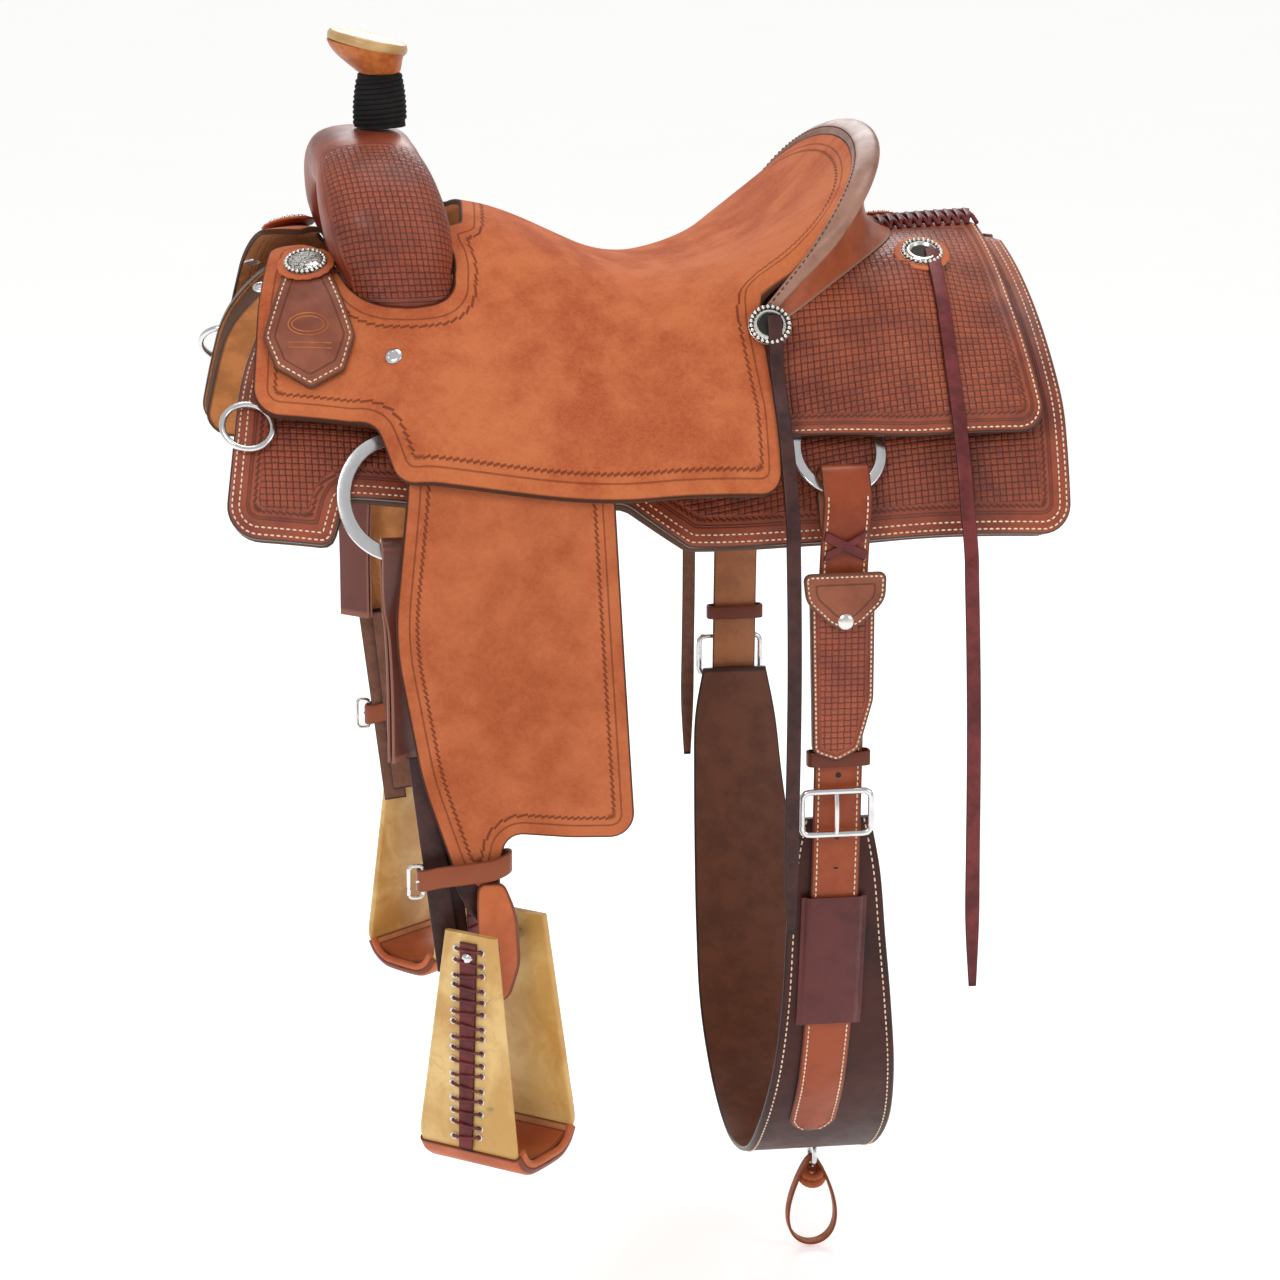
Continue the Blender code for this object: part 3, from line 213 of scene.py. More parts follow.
def leather(name, light, deep, edge=None, rough=0.5, nap=0.0, basket=None, border=None,
            creases=(), under=None, mottle=9.0, gloss=0.0, burnish=0.0016):
    """Leather: colour varies between light and deep, its edges are burnished dark.

    basket is the distance from the edge at which basket stamping starts, border that of a
    rope stamped line, creases those of plain lines, and under the colour of the other face.
    Stamped lines and basket recesses get painted shade, the basket bars' tops a painted highlight.
    """
    light, deep = srgb(*light), srgb(*deep)
    edge = srgb(*edge) if edge else BURNT_EDGE
    shader = Shader(name, rough)
    flat = shader.add("ShaderNodeSeparateXYZ", {0: shader.attribute("flat").outputs["Vector"]})
    u, v, depth = flat.outputs
    face = shader.attribute("face").outputs["Fac"]
    blotch = shader.noise(mottle, 3.0, rough=0.6)
    cloud = shader.noise(mottle * 4.2, 4.0, rough=0.65)
    tone = shader.math("ADD", shader.math("MULTIPLY", blotch, 0.62), shader.math("MULTIPLY", cloud, 0.38))
    colour = shader.mix(shader.ramp(tone, 0.36, 0.62), (*deep, 1), (*light, 1))
    grain = shader.noise(620.0, 2.0, rough=0.7)
    pores = shader.noise(230.0, 3.0, rough=0.6, distort=0.4)
    height = shader.math("ADD", shader.math("MULTIPLY", grain, 0.10 + 0.22 * nap),
                         shader.math("MULTIPLY", pores, 0.14 + 0.16 * nap))
    if nap:
        fibre = shader.ramp(shader.math("ADD", grain, pores), 0.75, 1.25)
        colour = shader.mix(shader.math("MULTIPLY", fibre, 0.22 * nap), colour,
                            (min(light[0] * 1.35, 1), min(light[1] * 1.5, 1), min(light[2] * 1.7, 1), 1))
    # painted shade colour, darkening the stamped grooves, creases and basket recesses
    dark = (deep[0] * 0.30, deep[1] * 0.26, deep[2] * 0.28, 1)
    if basket is not None:
        a, b = shader.math("DIVIDE", u, BASKET_CELL), shader.math("DIVIDE", v, BASKET_CELL * 0.92)
        odd = shader.math("ABSOLUTE", shader.math("MODULO", shader.math(
            "ADD", shader.math("FLOOR", a), shader.math("FLOOR", b)), 2.0))
        fa = shader.math("SUBTRACT", shader.math("FRACT", a), 0.5)
        fb = shader.math("SUBTRACT", shader.math("FRACT", b), 0.5)
        swap = shader.math("SUBTRACT", fb, fa)
        along = shader.math("ADD", fa, shader.math("MULTIPLY", swap, odd))
        across = shader.math("SUBTRACT", fb, shader.math("MULTIPLY", swap, odd))
        wide = shader.math("POWER", shader.math("ABSOLUTE", shader.math("MULTIPLY", across, 2.0)), 2.4)
        long = shader.math("POWER", shader.math("ABSOLUTE", shader.math("MULTIPLY", along, 2.0)), 4.0)
        bar = shader.math("MULTIPLY", shader.math("SUBTRACT", 1.0, wide),
                          shader.math("SUBTRACT", 1.0, shader.math("MULTIPLY", long, 0.55)))
        split = shader.line(shader.math("ABSOLUTE", across), 0.0, 0.11)
        bar = shader.math("SUBTRACT", bar, shader.math("MULTIPLY", split, 0.22))
        struck = shader.add("ShaderNodeTexWhiteNoise", {"Vector": shader.add("ShaderNodeCombineXYZ", {
            0: shader.math("FLOOR", a), 1: shader.math("FLOOR", b)}).outputs[0]}).outputs["Value"]
        bar = shader.math("MULTIPLY", bar, shader.math("ADD", shader.math("MULTIPLY", struck, 0.35), 0.75))
        field = shader.ramp(depth, basket - 0.0008, basket + 0.0008)
        weave = shader.math("MULTIPLY", bar, field)
        height = shader.math("ADD", height, shader.math("MULTIPLY", weave, 1.25))
        # painted shade: the basket's recesses between the bars are darkened
        valley_shade = shader.math("MULTIPLY", shader.ramp(bar, 0.12, 0.62, 1.0, 0.0), field)
        colour = shader.mix(shader.math("MULTIPLY", valley_shade, 0.80), colour, dark)
        # painted highlight: the tops of the basket bars are lightened
        bar_highlight = shader.math("MULTIPLY", shader.ramp(bar, 0.70, 0.98), field)
        colour = shader.mix(shader.math("MULTIPLY", bar_highlight, 0.20), colour,
                            (min(light[0] * 1.5, 1), min(light[1] * 1.7, 1), min(light[2] * 1.9, 1), 1))
    if border is not None:
        run = shader.attribute("run").outputs["Fac"]
        wave = shader.math("FRACT", shader.math("DIVIDE", run, ROPE_PITCH))
        slant = shader.math("MULTIPLY", shader.math("SUBTRACT", wave, 0.5), 0.0022)
        rope = shader.line(shader.math("ADD", depth, slant), border, 0.0015)
        # painted shade darkens the rope stamped groove, which the bump also presses in
        colour = shader.mix(shader.math("MULTIPLY", rope, 0.72), colour, dark)
        height = shader.math("SUBTRACT", height, shader.math("MULTIPLY", rope, 0.6))
    for at in creases:
        # painted shade darkens each crease, which the bump also presses in
        crease = shader.line(depth, at, 0.0010)
        colour = shader.mix(shader.math("MULTIPLY", crease, 0.55), colour, dark)
        height = shader.math("SUBTRACT", height, shader.math("MULTIPLY", crease, 0.45))
    if under is not None:
        under = srgb(*under)
        colour = shader.mix(face, shader.mix(shader.ramp(cloud, 0.35, 0.65), (*[c * 0.72 for c in under], 1),
                                             (*under, 1)), colour)
    worn = shader.ramp(depth, burnish * 0.55, burnish * 1.6, 1.0, 0.0)
    colour = shader.mix(shader.math("MULTIPLY", worn, 0.93), colour, (*edge, 1))
    shader.colour(colour)
    shader.rough(shader.ramp(shader.math("ADD", cloud, worn), 0.3, 1.2,
                             rough + 0.08, max(rough - 0.14, 0.2)))
    shader.relief(height)
    shader.set(Specular_IOR_Level=0.10 if nap else 0.38 if basket else 0.24)
    if gloss:
        shader.set(Coat_Weight=gloss * 0.7, Coat_Roughness=0.25)
    if nap:
        shader.set(Sheen_Weight=0.05 * nap, Sheen_Roughness=0.5)
    return shader.done()


def rawhide(name, light, deep, smudge):
    """Hard pale hide with veins, and stains of the smudge colour."""
    light, deep, smudge = srgb(*light), srgb(*deep), srgb(*smudge)
    shader = Shader(name, 0.38)
    patch = shader.noise(14.0, 4.0, rough=0.62, distort=0.6)
    veins = shader.noise(60.0, 5.0, rough=0.7, distort=1.2)
    colour = shader.mix(shader.ramp(patch, 0.38, 0.66), (*deep, 1), (*light, 1))
    colour = shader.mix(shader.math("MULTIPLY", shader.ramp(veins, 0.52, 0.66), 0.30), colour,
                        (light[0] * 0.62, light[1] * 0.50, light[2] * 0.38, 1))
    stain = shader.noise(22.0, 6.0, rough=0.75, distort=0.8)
    colour = shader.mix(shader.math("MULTIPLY", shader.ramp(stain, 0.60, 0.72), 0.75), colour, (*smudge, 1))
    shader.colour(colour)
    shader.rough(shader.ramp(veins, 0.3, 0.7, 0.30, 0.50))
    shader.relief(shader.math("ADD", shader.math("MULTIPLY", veins, 0.5),
                              shader.math("MULTIPLY", patch, 1.2)))
    shader.set(Coat_Weight=0.25, Coat_Roughness=0.2, Subsurface_Weight=0.05)
    return shader.done()


def metal(name, colour, rough, engraved=0.0, antique=0.0):
    """Bright metal; engraved is the depth of its scrolls in mm, antique how dark they are."""
    colour = srgb(*colour)
    shader = Shader(name, rough, 1.0)
    worn = shader.noise(90.0, 4.0, rough=0.6)
    dull = (colour[0] * 0.86, colour[1] * 0.86, colour[2] * 0.85, 1)
    tint = shader.mix(shader.ramp(worn, 0.35, 0.75), (*colour, 1), dull)
    if engraved:
        swirl = shader.noise(210.0, 2.0, distort=2.4, rough=0.4)
        cut = shader.line(swirl, 0.5, 0.045)
        scroll = shader.add("ShaderNodeTexWave", {"Vector": shader.where, "Scale": 130.0, "Distortion": 9.0,
                                                  "Detail": 1.0, "Detail Scale": 1.4},
                            wave_type="RINGS").outputs[1]
        carved = shader.math("MAXIMUM", cut, shader.ramp(scroll, 0.25, 0.05))
        tint = shader.mix(shader.math("MULTIPLY", carved, antique), tint, (0.018, 0.017, 0.015, 1))
        shader.relief(shader.math("MULTIPLY", carved, -engraved))
    else:
        shader.relief(shader.math("MULTIPLY", worn, 0.05))
    shader.colour(tint)
    shader.rough(shader.ramp(worn, 0.3, 0.8, rough, rough + 0.12))
    return shader.done()


def thread(name, light, deep):
    shader = Shader(name, 0.7)
    twist = shader.noise(900.0, 2.0)
    soil = shader.noise(30.0, 3.0)
    shader.colour(shader.mix(shader.ramp(shader.math("ADD", twist, soil), 0.7, 1.2), (*srgb(*deep), 1),
                             (*srgb(*light), 1)))
    shader.relief(shader.math("MULTIPLY", twist, 0.4))
    return shader.done()


def timber(name, light, deep):
    shader = Shader(name, 0.6)
    rings = shader.add("ShaderNodeTexWave", {"Vector": shader.where, "Scale": 22.0, "Distortion": 5.0,
                                             "Detail": 3.0}, bands_direction="Z").outputs[1]
    fibres = shader.noise(160.0, 4.0)
    shader.colour(shader.mix(shader.math("MULTIPLY", rings, fibres), (*srgb(*light), 1), (*srgb(*deep), 1)))
    shader.relief(shader.math("MULTIPLY", fibres, 0.3))
    return shader.done()


# Colours are 0-255 display values, distances from the edge are metres.
TOOLED = dict(rough=0.42, gloss=0.16, under=(190, 120, 70))
LEATHERS = {
    "rough_out": dict(light=(192, 108, 66), deep=(166, 80, 47), nap=1.0, rough=0.82, border=0.0185,
                      creases=(0.0120,), under=(196, 126, 74)),
    "fender": dict(light=(186, 104, 66), deep=(160, 80, 47), nap=0.8, rough=0.80, border=0.0175,
                   creases=(0.0110,), under=(205, 140, 88)),
    "plain_tan": dict(light=(196, 106, 60), deep=(168, 80, 42), rough=0.45, gloss=0.12, edge=(110, 52, 30),
                      under=(196, 130, 84)),
    "skirt": dict(TOOLED, light=(152, 72, 44), deep=(112, 47, 33), basket=0.0255, border=0.0225,
                  creases=(0.0160, 0.0180), burnish=0.0012),
    "jockey": dict(TOOLED, light=(160, 76, 44), deep=(120, 50, 31), basket=0.0180, border=0.0155,
                   creases=(0.0088, 0.0105)),
    "swell": dict(TOOLED, light=(150, 68, 40), deep=(108, 43, 28), basket=0.0160, creases=(0.0130,),
                  rough=0.40, gloss=0.22),
    "tooled_small": dict(TOOLED, light=(160, 76, 46), deep=(120, 50, 34), basket=0.0070,
                         creases=(0.0052,)),
    "kite": dict(TOOLED, light=(146, 84, 60), deep=(114, 58, 42), rough=0.45, creases=(0.0098,),
                 gloss=0.12, edge=(96, 58, 44)),
    "billet": dict(light=(184, 88, 48), deep=(148, 62, 34), rough=0.42, gloss=0.10, edge=(80, 36, 24),
                   under=(190, 124, 78)),
    "lining": dict(light=(172, 112, 70), deep=(140, 86, 52), nap=0.5, rough=0.85, edge=(74, 50, 40),
                   under=(186, 120, 70), burnish=0.0030),
    "burgundy": dict(light=(116, 46, 46), deep=(84, 30, 32), rough=0.42, gloss=0.15, mottle=30.0,
                     edge=(58, 22, 22), under=(132, 66, 58), burnish=0.0006),
    "brown": dict(light=(72, 40, 36), deep=(48, 26, 24), rough=0.42, gloss=0.15, mottle=30.0,
                  edge=(30, 16, 14), under=(120, 78, 60), burnish=0.0006),
    "latigo": dict(light=(92, 38, 36), deep=(56, 20, 22), rough=0.35, gloss=0.28, edge=(140, 92, 76),
                   under=(84, 38, 34), burnish=0.0012),
    "cinch": dict(light=(68, 27, 20), deep=(44, 16, 13), rough=0.45, gloss=0.08, creases=(0.0085,),
                  edge=(34, 14, 12), under=(104, 60, 42)),
    "roll": dict(light=(158, 118, 100), deep=(118, 74, 58), rough=0.36, gloss=0.25),
    "cone": dict(light=(196, 116, 58), deep=(160, 84, 42), rough=0.42, gloss=0.1, mottle=40.0),
    "loop": dict(light=(176, 92, 54), deep=(148, 70, 40), mottle=40.0, edge=(120, 60, 36),
                 under=(180, 106, 66), burnish=0.0005),
    "wrap": dict(light=(38, 37, 37), deep=(22, 21, 21), rough=0.70, nap=0.2),
    "cover": dict(light=(168, 88, 54), deep=(132, 62, 39), rough=0.38, gloss=0.2, edge=(150, 120, 104),
                  burnish=0.0022),
}
OTHER_LOOKS = {           # name: (kind, and what it is called with)
    "rawhide": (rawhide, (226, 190, 122), (196, 150, 78), (104, 104, 70)),
    "rawhide_ring": (rawhide, (210, 176, 120), (176, 138, 84), (150, 108, 62)),
    "thread": (thread, (240, 222, 196), (214, 180, 146)),
    "dark_thread": (thread, (96, 50, 34), (56, 28, 20)),
    "steel": (metal, (222, 222, 224), 0.16),
    "silver": (metal, (226, 224, 218), 0.22),
    "engraved": (metal, (228, 226, 220), 0.24, 0.35, 0.9),
    # dark metal that paints shade into the concho grooves and the billet holes
    "recess": (metal, (60, 58, 54), 0.5),
    "wood": (timber, (196, 158, 108), (140, 98, 60)),
}
LOOKS = {name: leather(name, **settings) for name, settings in LEATHERS.items()}
LOOKS.update({name: kind(name, *settings) for name, (kind, *settings) in OTHER_LOOKS.items()})


# ---------------------------------------------------------------- flat cutting
def resample(points, spacing, closed=True):
    """Points at an even spacing along a polyline, with its start kept."""
    line = np.array([tuple(p) for p in points], float)
    if closed:
        line = np.vstack([line, line[:1]])
    steps = np.linalg.norm(np.diff(line, axis=0), axis=1)
    total = np.concatenate([[0], np.cumsum(steps)])
    count = max(int(round(total[-1] / spacing)), 3)
    at = np.linspace(0, total[-1], count + 1)
    if closed:
        at = at[:-1]
    return np.stack([np.interp(at, total, line[:, k]) for k in range(line.shape[1])], axis=1)


def edge_measure(points, rim):
    """For each 2-D point, its distance to the closed rim and how far round the rim it is."""
    ahead = np.roll(rim, -1, axis=0)
    segment = ahead - rim
    length = np.linalg.norm(segment, axis=1)
    start = np.concatenate([[0], np.cumsum(length)[:-1]])
    distance, run = [], []
    for block in np.array_split(points, max(len(points) // 1500, 1)):
        offset = block[:, None, :] - rim[None]
        t = np.clip((offset * segment).sum(2) / (length ** 2), 0, 1)
        gap = np.linalg.norm(offset - t[..., None] * segment, axis=2)
        nearest = gap.argmin(1)
        rows = np.arange(len(block))
        distance.append(gap[rows, nearest])
        run.append(start[nearest] + t[rows, nearest] * length[nearest])
    return np.concatenate(distance), np.concatenate(run)


def inside(points, rim):
    """Which of the 2-D points lie within the closed rim."""
    ahead = np.roll(rim, -1, axis=0)
    hit = np.zeros(len(points), bool)
    for (ax, ay), (bx, by) in zip(rim, ahead):
        if ay == by:
            continue
        crosses = (ay > points[:, 1]) != (by > points[:, 1])
        hit ^= crosses & (points[:, 0] < (bx - ax) * (points[:, 1] - ay) / (by - ay) + ax)
    return hit


def inset_loop(rim, distance):
    """The rim moved inwards; where it would cross itself, points are dropped."""
    back, ahead = np.roll(rim, 1, axis=0), np.roll(rim, -1, axis=0)
    along = ahead - back
    along /= np.linalg.norm(along, axis=1)[:, None]
    area = (rim[:, 0] * ahead[:, 1] - ahead[:, 0] * rim[:, 1]).sum()
    normal = np.stack([-along[:, 1], along[:, 0]], axis=1) * np.sign(area)
    moved = rim + normal * distance
    gap, _ = edge_measure(moved, rim)
    return moved[gap > distance * 0.97]


def flat_mesh(outline, cell, insets):
    """The outline filled with triangles: points, faces, distance to the edge, place round the edge."""
    rim = resample(outline, cell * 0.75)
    fine = resample(outline, cell * 0.5)
    low, high = rim.min(0), rim.max(0)
    grid = []
    rows = int((high[1] - low[1]) / (cell * 0.866)) + 1
    for j in range(rows):
        y = low[1] + cell * 0.866 * (j + 0.5)
        x = np.arange(low[0] + cell * (0.5 if j % 2 else 0.0), high[0], cell)
        grid.append(np.stack([x, np.full(len(x), y)], axis=1))
    grid = np.vstack(grid)
    grid = grid[inside(grid, rim)]
    gap, _ = edge_measure(grid, rim)
    grid = grid[gap > max(insets, default=0) + cell * 0.45]
    rings = [inset_loop(rim, distance) for distance in insets]
    points = np.vstack([rim] + rings + [grid])
    verts, _, faces, _, _, _ = delaunay_2d_cdt([Vector(p) for p in points], [], [list(range(len(rim)))],
                                               1, 1e-7)
    flat = np.array([tuple(v) for v in verts])
    depth, run = edge_measure(flat, rim)
    _, run = edge_measure(flat, fine)
    depth[depth < 2e-5] = 0
    return flat, faces, depth, run


def mesh_object(name, verts, faces, look, attributes=None, sharp=40.0):
    mesh = bpy.data.meshes.new(name)
    mesh.from_pydata([tuple(v) for v in verts], [], faces)
    mesh.materials.append(LOOKS[look])
    mesh.shade_smooth()
    mesh.set_sharp_from_angle(angle=math.radians(sharp))
    for key, values in (attributes or {}).items():
        values = np.asarray(values, np.float32)
        kind = "FLOAT_VECTOR" if values.ndim == 2 else "FLOAT"
        layer = mesh.attributes.new(key, kind, "POINT")
        layer.data.foreach_set("vector" if values.ndim == 2 else "value", values.ravel())
    obj = bpy.data.objects.new(name, mesh)
    bpy.context.collection.objects.link(obj)
    return obj


def finish(obj, body, nodes=()):
    """body is the one the piece rides; where it is two bodies with a blend's run, none is used and the piece
    stays where it stands.
    """
    if isinstance(body, tuple):
        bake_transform(obj)
    else:
        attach(obj, body)
    if nodes:
        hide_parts(*nodes)


def hide(name, outline, place, thick, look, body, nodes=(), cell=0.005):
    """Leather cut to a flat outline: place(u, v) gives its low face's point and the normal there."""
    soft = min(0.42 * thick, 0.0022)
    flat, faces, depth, run = flat_mesh(outline, cell, (0.30 * soft, soft, soft * 2.2))
    low, top = [], []
    for (u, v), gap in zip(flat, depth):
        point, normal = place(u, v)
        fall = soft - math.sqrt(max(soft ** 2 - max(soft - gap, 0.0) ** 2, 0.0))
        low.append(point)
        top.append(point + normal * (thick - fall))
    count = len(flat)
    sample = faces[len(faces) // 2]
    a, b, c = (top[i] for i in sample[:3])
    if (b - a).cross(c - a).dot(a - low[sample[0]]) < 0:
        faces = [list(reversed(f)) for f in faces]
    used = {(i, j): True for face in faces for i, j in zip(face, face[1:] + face[:1])}
    sides = [(i, i + count, j + count, j) for i, j in used if (j, i) not in used]
    whole = [tuple(f) for f in faces] + [tuple(i + count for i in reversed(f)) for f in faces] + sides
    data = np.column_stack([flat, depth])
    obj = mesh_object(name, top + low, whole, look,
                      {"flat": np.vstack([data, data]), "run": np.concatenate([run, run]),
                       "face": np.concatenate([np.ones(count), np.zeros(count)])}, sharp=60)
    finish(obj, body, nodes)


# ---------------------------------------------------------------- sewing, tubes and straps
def turns(count, shift=0.0):
    """Even angles round a full turn."""
    return [2 * math.pi * (k + shift) / count for k in range(count)]


# Rings of one stitch: place along it, size, and lift in thread widths; its ends go into the leather.
STITCH = ((0.0, 0.15, -0.55), (0.12, 0.75, -0.05), (0.5, 1.0, 0.28), (0.88, 0.75, -0.05), (1.0, 0.15, -0.55))


class Sewing:
    """Stitches of one leather, gathered into one mesh."""

    def __init__(self):
        self.verts, self.faces = [], []

    def stitch(self, start, end, normal, width):
        along = (end - start)
        side = along.cross(normal).normalized()
        base = len(self.verts)
        for t, size, lift in STITCH:
            centre = start + along * t + normal * (lift * width)
            for k in range(6):
                angle = math.pi * k / 3
                out = side * math.cos(angle) + normal * math.sin(angle)
                self.verts.append(centre + out * (size * width / 2))
        last = base + (len(STITCH) - 1) * 6
        for ring in range(base, last, 6):
            for k in range(6):
                n = (k + 1) % 6
                self.faces.append((ring + k, ring + n, ring + 6 + n, ring + 6 + k))
        self.faces.append(tuple(base + k for k in reversed(range(6))))
        self.faces.append(tuple(last + k for k in range(6)))

    def row(self, track, pitch=0.0052, length=0.0040, width=0.00155):
        """Stitches along (point, normal) pairs."""
        travelled, due = 0.0, pitch * 0.5
        for (a, na), (b, _) in zip(track, track[1:]):
            step = (b - a).length
            if step > pitch * 3:
                travelled, due = 0.0, pitch * 0.5
                continue
            while step > 0 and travelled + step >= due:
                centre = a.lerp(b, (due - travelled) / step)
                way = (b - a).normalized() * length / 2
                self.stitch(centre - way, centre + way, na, width)
                due += pitch
            travelled += step

    def done(self, name, body, look="thread"):
        finish(mesh_object(name, self.verts, self.faces, look, sharp=80), body)


def sew_outline(name, outline, insets, place, thick, body, keep=lambda u, v: True, **stitching):
    """Rows of stitches inside a cut outline, on the leather's top face where keep says so."""
    sewing = Sewing()
    for inset in insets:
        path = inset_loop(resample(outline, 0.0016), inset)
        runs, current = [], []
        for u, v in np.vstack([path, path[:1]]):
            if keep(u, v):
                point, normal = place(u, v)
                current.append((point + normal * thick, normal))
            elif current:
                runs.append(current)
                current = []
        for run in runs + [current]:
            if len(run) > 3:
                sewing.row(run, **stitching)
    sewing.done(name, body)


def curve_through(points, per=6, closed=False):
    """Catmull-Rom through vectors of any length."""
    data = np.array([tuple(p) for p in points], float)
    count = len(data)
    result = []
    for i in range(count if closed else count - 1):
        pick = [(i - 1 + k) % count if closed else min(max(i - 1 + k, 0), count - 1) for k in range(4)]
        p, a, b, n = data[pick]
        for k in range(per):
            f = k / per
            result.append(0.5 * (2 * a + (b - p) * f + (2 * p - 5 * a + 4 * b - n) * f ** 2
                                 + (3 * a - p - 3 * b + n) * f ** 3))
    if not closed:
        result.append(data[-1])
    return result


def sheet_faces(rows, columns, ends=False):
    """Faces of a thin sheet whose points lie row by row, first the outer and then the inner ones."""
    half = rows * columns
    faces = []
    for base, turn in ((0, False), (half, True)):
        for i in range(rows - 1):
            for j in range(columns - 1):
                a = base + i * columns + j
                quad = (a, a + columns, a + columns + 1, a + 1)
                faces.append(tuple(reversed(quad)) if turn else quad)
    for i in range(rows - 1):
        for j in (0, columns - 1):
            a = i * columns + j
            faces.append((a, a + columns, a + columns + half, a + half))
    if ends:
        for j in range(columns - 1):
            for i in (0, rows - 1):
                a = i * columns + j
                faces.append((a, a + 1, a + 1 + half, a + half))
    return faces


def skin(rings, closed=False):
    """Points and outward faces of a closed skin through equal rings of points."""
    verts, faces = [], []
    size = len(rings[0])
    for ring in rings:
        verts += [Vector(p) for p in ring]
    last = len(rings) if closed else len(rings) - 1
    for i in range(last):
        j = (i + 1) % len(rings)
        for k in range(size):
            n = (k + 1) % size
            faces.append((i * size + k, i * size + n, j * size + n, j * size + k))
    if not closed:
        faces.append(tuple(reversed(range(size))))
        faces.append(tuple((len(rings) - 1) * size + k for k in range(size)))
    volume = 0.0
    for face in faces:
        a = verts[face[0]]
        for i in range(1, len(face) - 1):
            volume += a.dot(verts[face[i]].cross(verts[face[i + 1]]))
    return verts, faces if volume > 0 else [tuple(reversed(f)) for f in faces]


def tube(points, radius, sides=10, closed=False, per=6):
    """A round rod through points; radius is a number or one per point."""
    sizes = radius if isinstance(radius, (list, tuple)) else [radius] * len(points)
    path = curve_through([(*p, r) for p, r in zip(points, sizes)], per, closed)
    rings = []
    count = len(path)
    reference = None
    for i, value in enumerate(path):
        here = Vector(value[:3])
        before = Vector(path[(i - 1) % count if closed else max(i - 1, 0)][:3])
        after = Vector(path[(i + 1) % count if closed else min(i + 1, count - 1)][:3])
        along = (after - before).normalized()
        if reference is None:
            reference = along.orthogonal()
        reference = (reference - along * reference.dot(along)).normalized()
        other = along.cross(reference)
        rings.append([here + (reference * math.cos(a) + other * math.sin(a)) * value[3]
                      for a in turns(sides)])
    return skin(rings, closed)


def soft_box(half_wide, half_tall, soft):
    """The 16 points of a rectangle's outline with its corners rounded."""
    section = []
    for corner_x, corner_y, first in ((1, 1, 0), (-1, 1, 90), (-1, -1, 180), (1, -1, 270)):
        for k in range(4):
            angle = math.radians(first + 30 * k)
            section.append((corner_x * (half_wide - soft) + soft * math.cos(angle),
                            corner_y * (half_tall - soft) + soft * math.sin(angle)))
    return section


def strap_track(stations, per=6, closed=False):
    """Dense (centre, half width, half thickness) stations."""
    dense = curve_through([(*c, *h, *t) for c, h, t in stations], per, closed)
    return [(Vector(v[:3]), Vector(v[3:6]), Vector(v[6:9])) for v in dense]


def strap(name, stations, look, body, nodes=(), closed=False, per=6):
    """A flat strap with rounded edges; its outer face is the one its thickness points to."""
    dense = strap_track(stations, per, closed)
    rings, flat, run, face, travelled = [], [], [], [], 0.0
    for i, (centre, half, thick) in enumerate(dense):
        if i:
            travelled += (centre - dense[i - 1][0]).length
        wide, tall = half.length, thick.length
        ring = []
        for x, y in soft_box(wide, tall, min(tall, wide * 0.5)):
            ring.append(centre + half * (x / wide) + thick * (y / tall))
            flat.append((travelled, x, max(wide - abs(x), 0.0)))
            run.append(travelled)
            face.append(float(y > -0.2 * tall))
        rings.append(ring)
    verts, faces = skin(rings, closed)
    if not closed:
        for i, (centre, _, _) in enumerate(dense):
            end = min((centre - dense[0][0]).length, (centre - dense[-1][0]).length)
            for index in range(i * 16, i * 16 + 16):
                flat[index] = (flat[index][0], flat[index][1], min(flat[index][2], end))
    obj = mesh_object(name, verts, faces, look, {"flat": flat, "run": run, "face": face}, sharp=75)
    finish(obj, body, nodes)


def strap_rows(stations, inset, per=6):
    """Tracks for stitches along both edges of a strap."""
    dense = strap_track(stations, per)
    return [[(centre + half * (way * (half.length - inset) / half.length) + thick, thick.normalized())
             for centre, half, thick in dense] for way in (1, -1)]


def solid_of(name, parts, look, body, nodes=()):
    """Closed skins joined in one piece, which its material takes as far from any edge."""
    verts, faces = [], []
    for more_verts, more_faces in parts:
        base = len(verts)
        verts += list(more_verts)
        faces += [tuple(i + base for i in f) for f in more_faces]
    attributes = {"flat": [(v[0] + v[1], v[2], 0.03) for v in verts], "run": [0.0] * len(verts),
                  "face": [1.0] * len(verts)}
    finish(mesh_object(name, verts, faces, look, attributes), body, nodes)


def turned(profile, place, steps=48):
    """A turned shape from (radius, height) pairs in the given frame."""
    rings = []
    for radius, height in profile:
        radius = max(radius, 1e-5)
        rings.append([place @ Vector((radius * math.cos(a), radius * math.sin(a), height))
                      for a in turns(steps)])
    return skin(rings)


# ---------------------------------------------------------------- the saddle's measures
BARREL_R = 0.306          # radius of the back's side, seen from the front
RIDGE_ANGLE = math.radians(12)
DIP, DIP_LENGTH = 0.042, 0.18      # the back rises this much towards both ends

LINING_TOP = 0.0140       # layers, as offsets from the back
SKIRT_LOW, SKIRT_TOP = 0.0155, 0.0205
RING_THICK = 0.0040
JOCKEY_LOW, JOCKEY_TOP = 0.0330, 0.0370
SEAT_LOW, SEAT_THICK = 0.0385, 0.0050
BAR_HEIGHT, BAR_SPREAD, BAR_END = 0.020, 0.20, 0.25
CANTLE_BASE, CANTLE_BASE_X = 0.018, 0.13
FLARE = 0.041             # how far the stirrup leathers push the seat jockey out

CANTLE_TOP_X, CANTLE_TOP_Z = 0.223, 0.147
CANTLE_END_X, CANTLE_END_S = 0.118, 0.130
CANTLE_POWER = 0.42
DISH_START = 0.045
ROLL_WIDTH, ROLL_THICK = 0.026, 0.012

HORN_X, HORN_NECK_Z = -0.190, 0.214
CAP_TILT = math.radians(12.5)

FENDER_IN, FENDER_OUT = 0.2655, 0.2700
LEATHER_MID, LEATHER_THICK = 0.2608, 0.0050
STIRRUP_X, STIRRUP_Y = -0.124, 0.2625
STIRRUP_TURN = math.radians(50)
STIRRUP_TOP_Z = -0.477
BOLT_Z, BOLT_R = -0.497, 0.0045

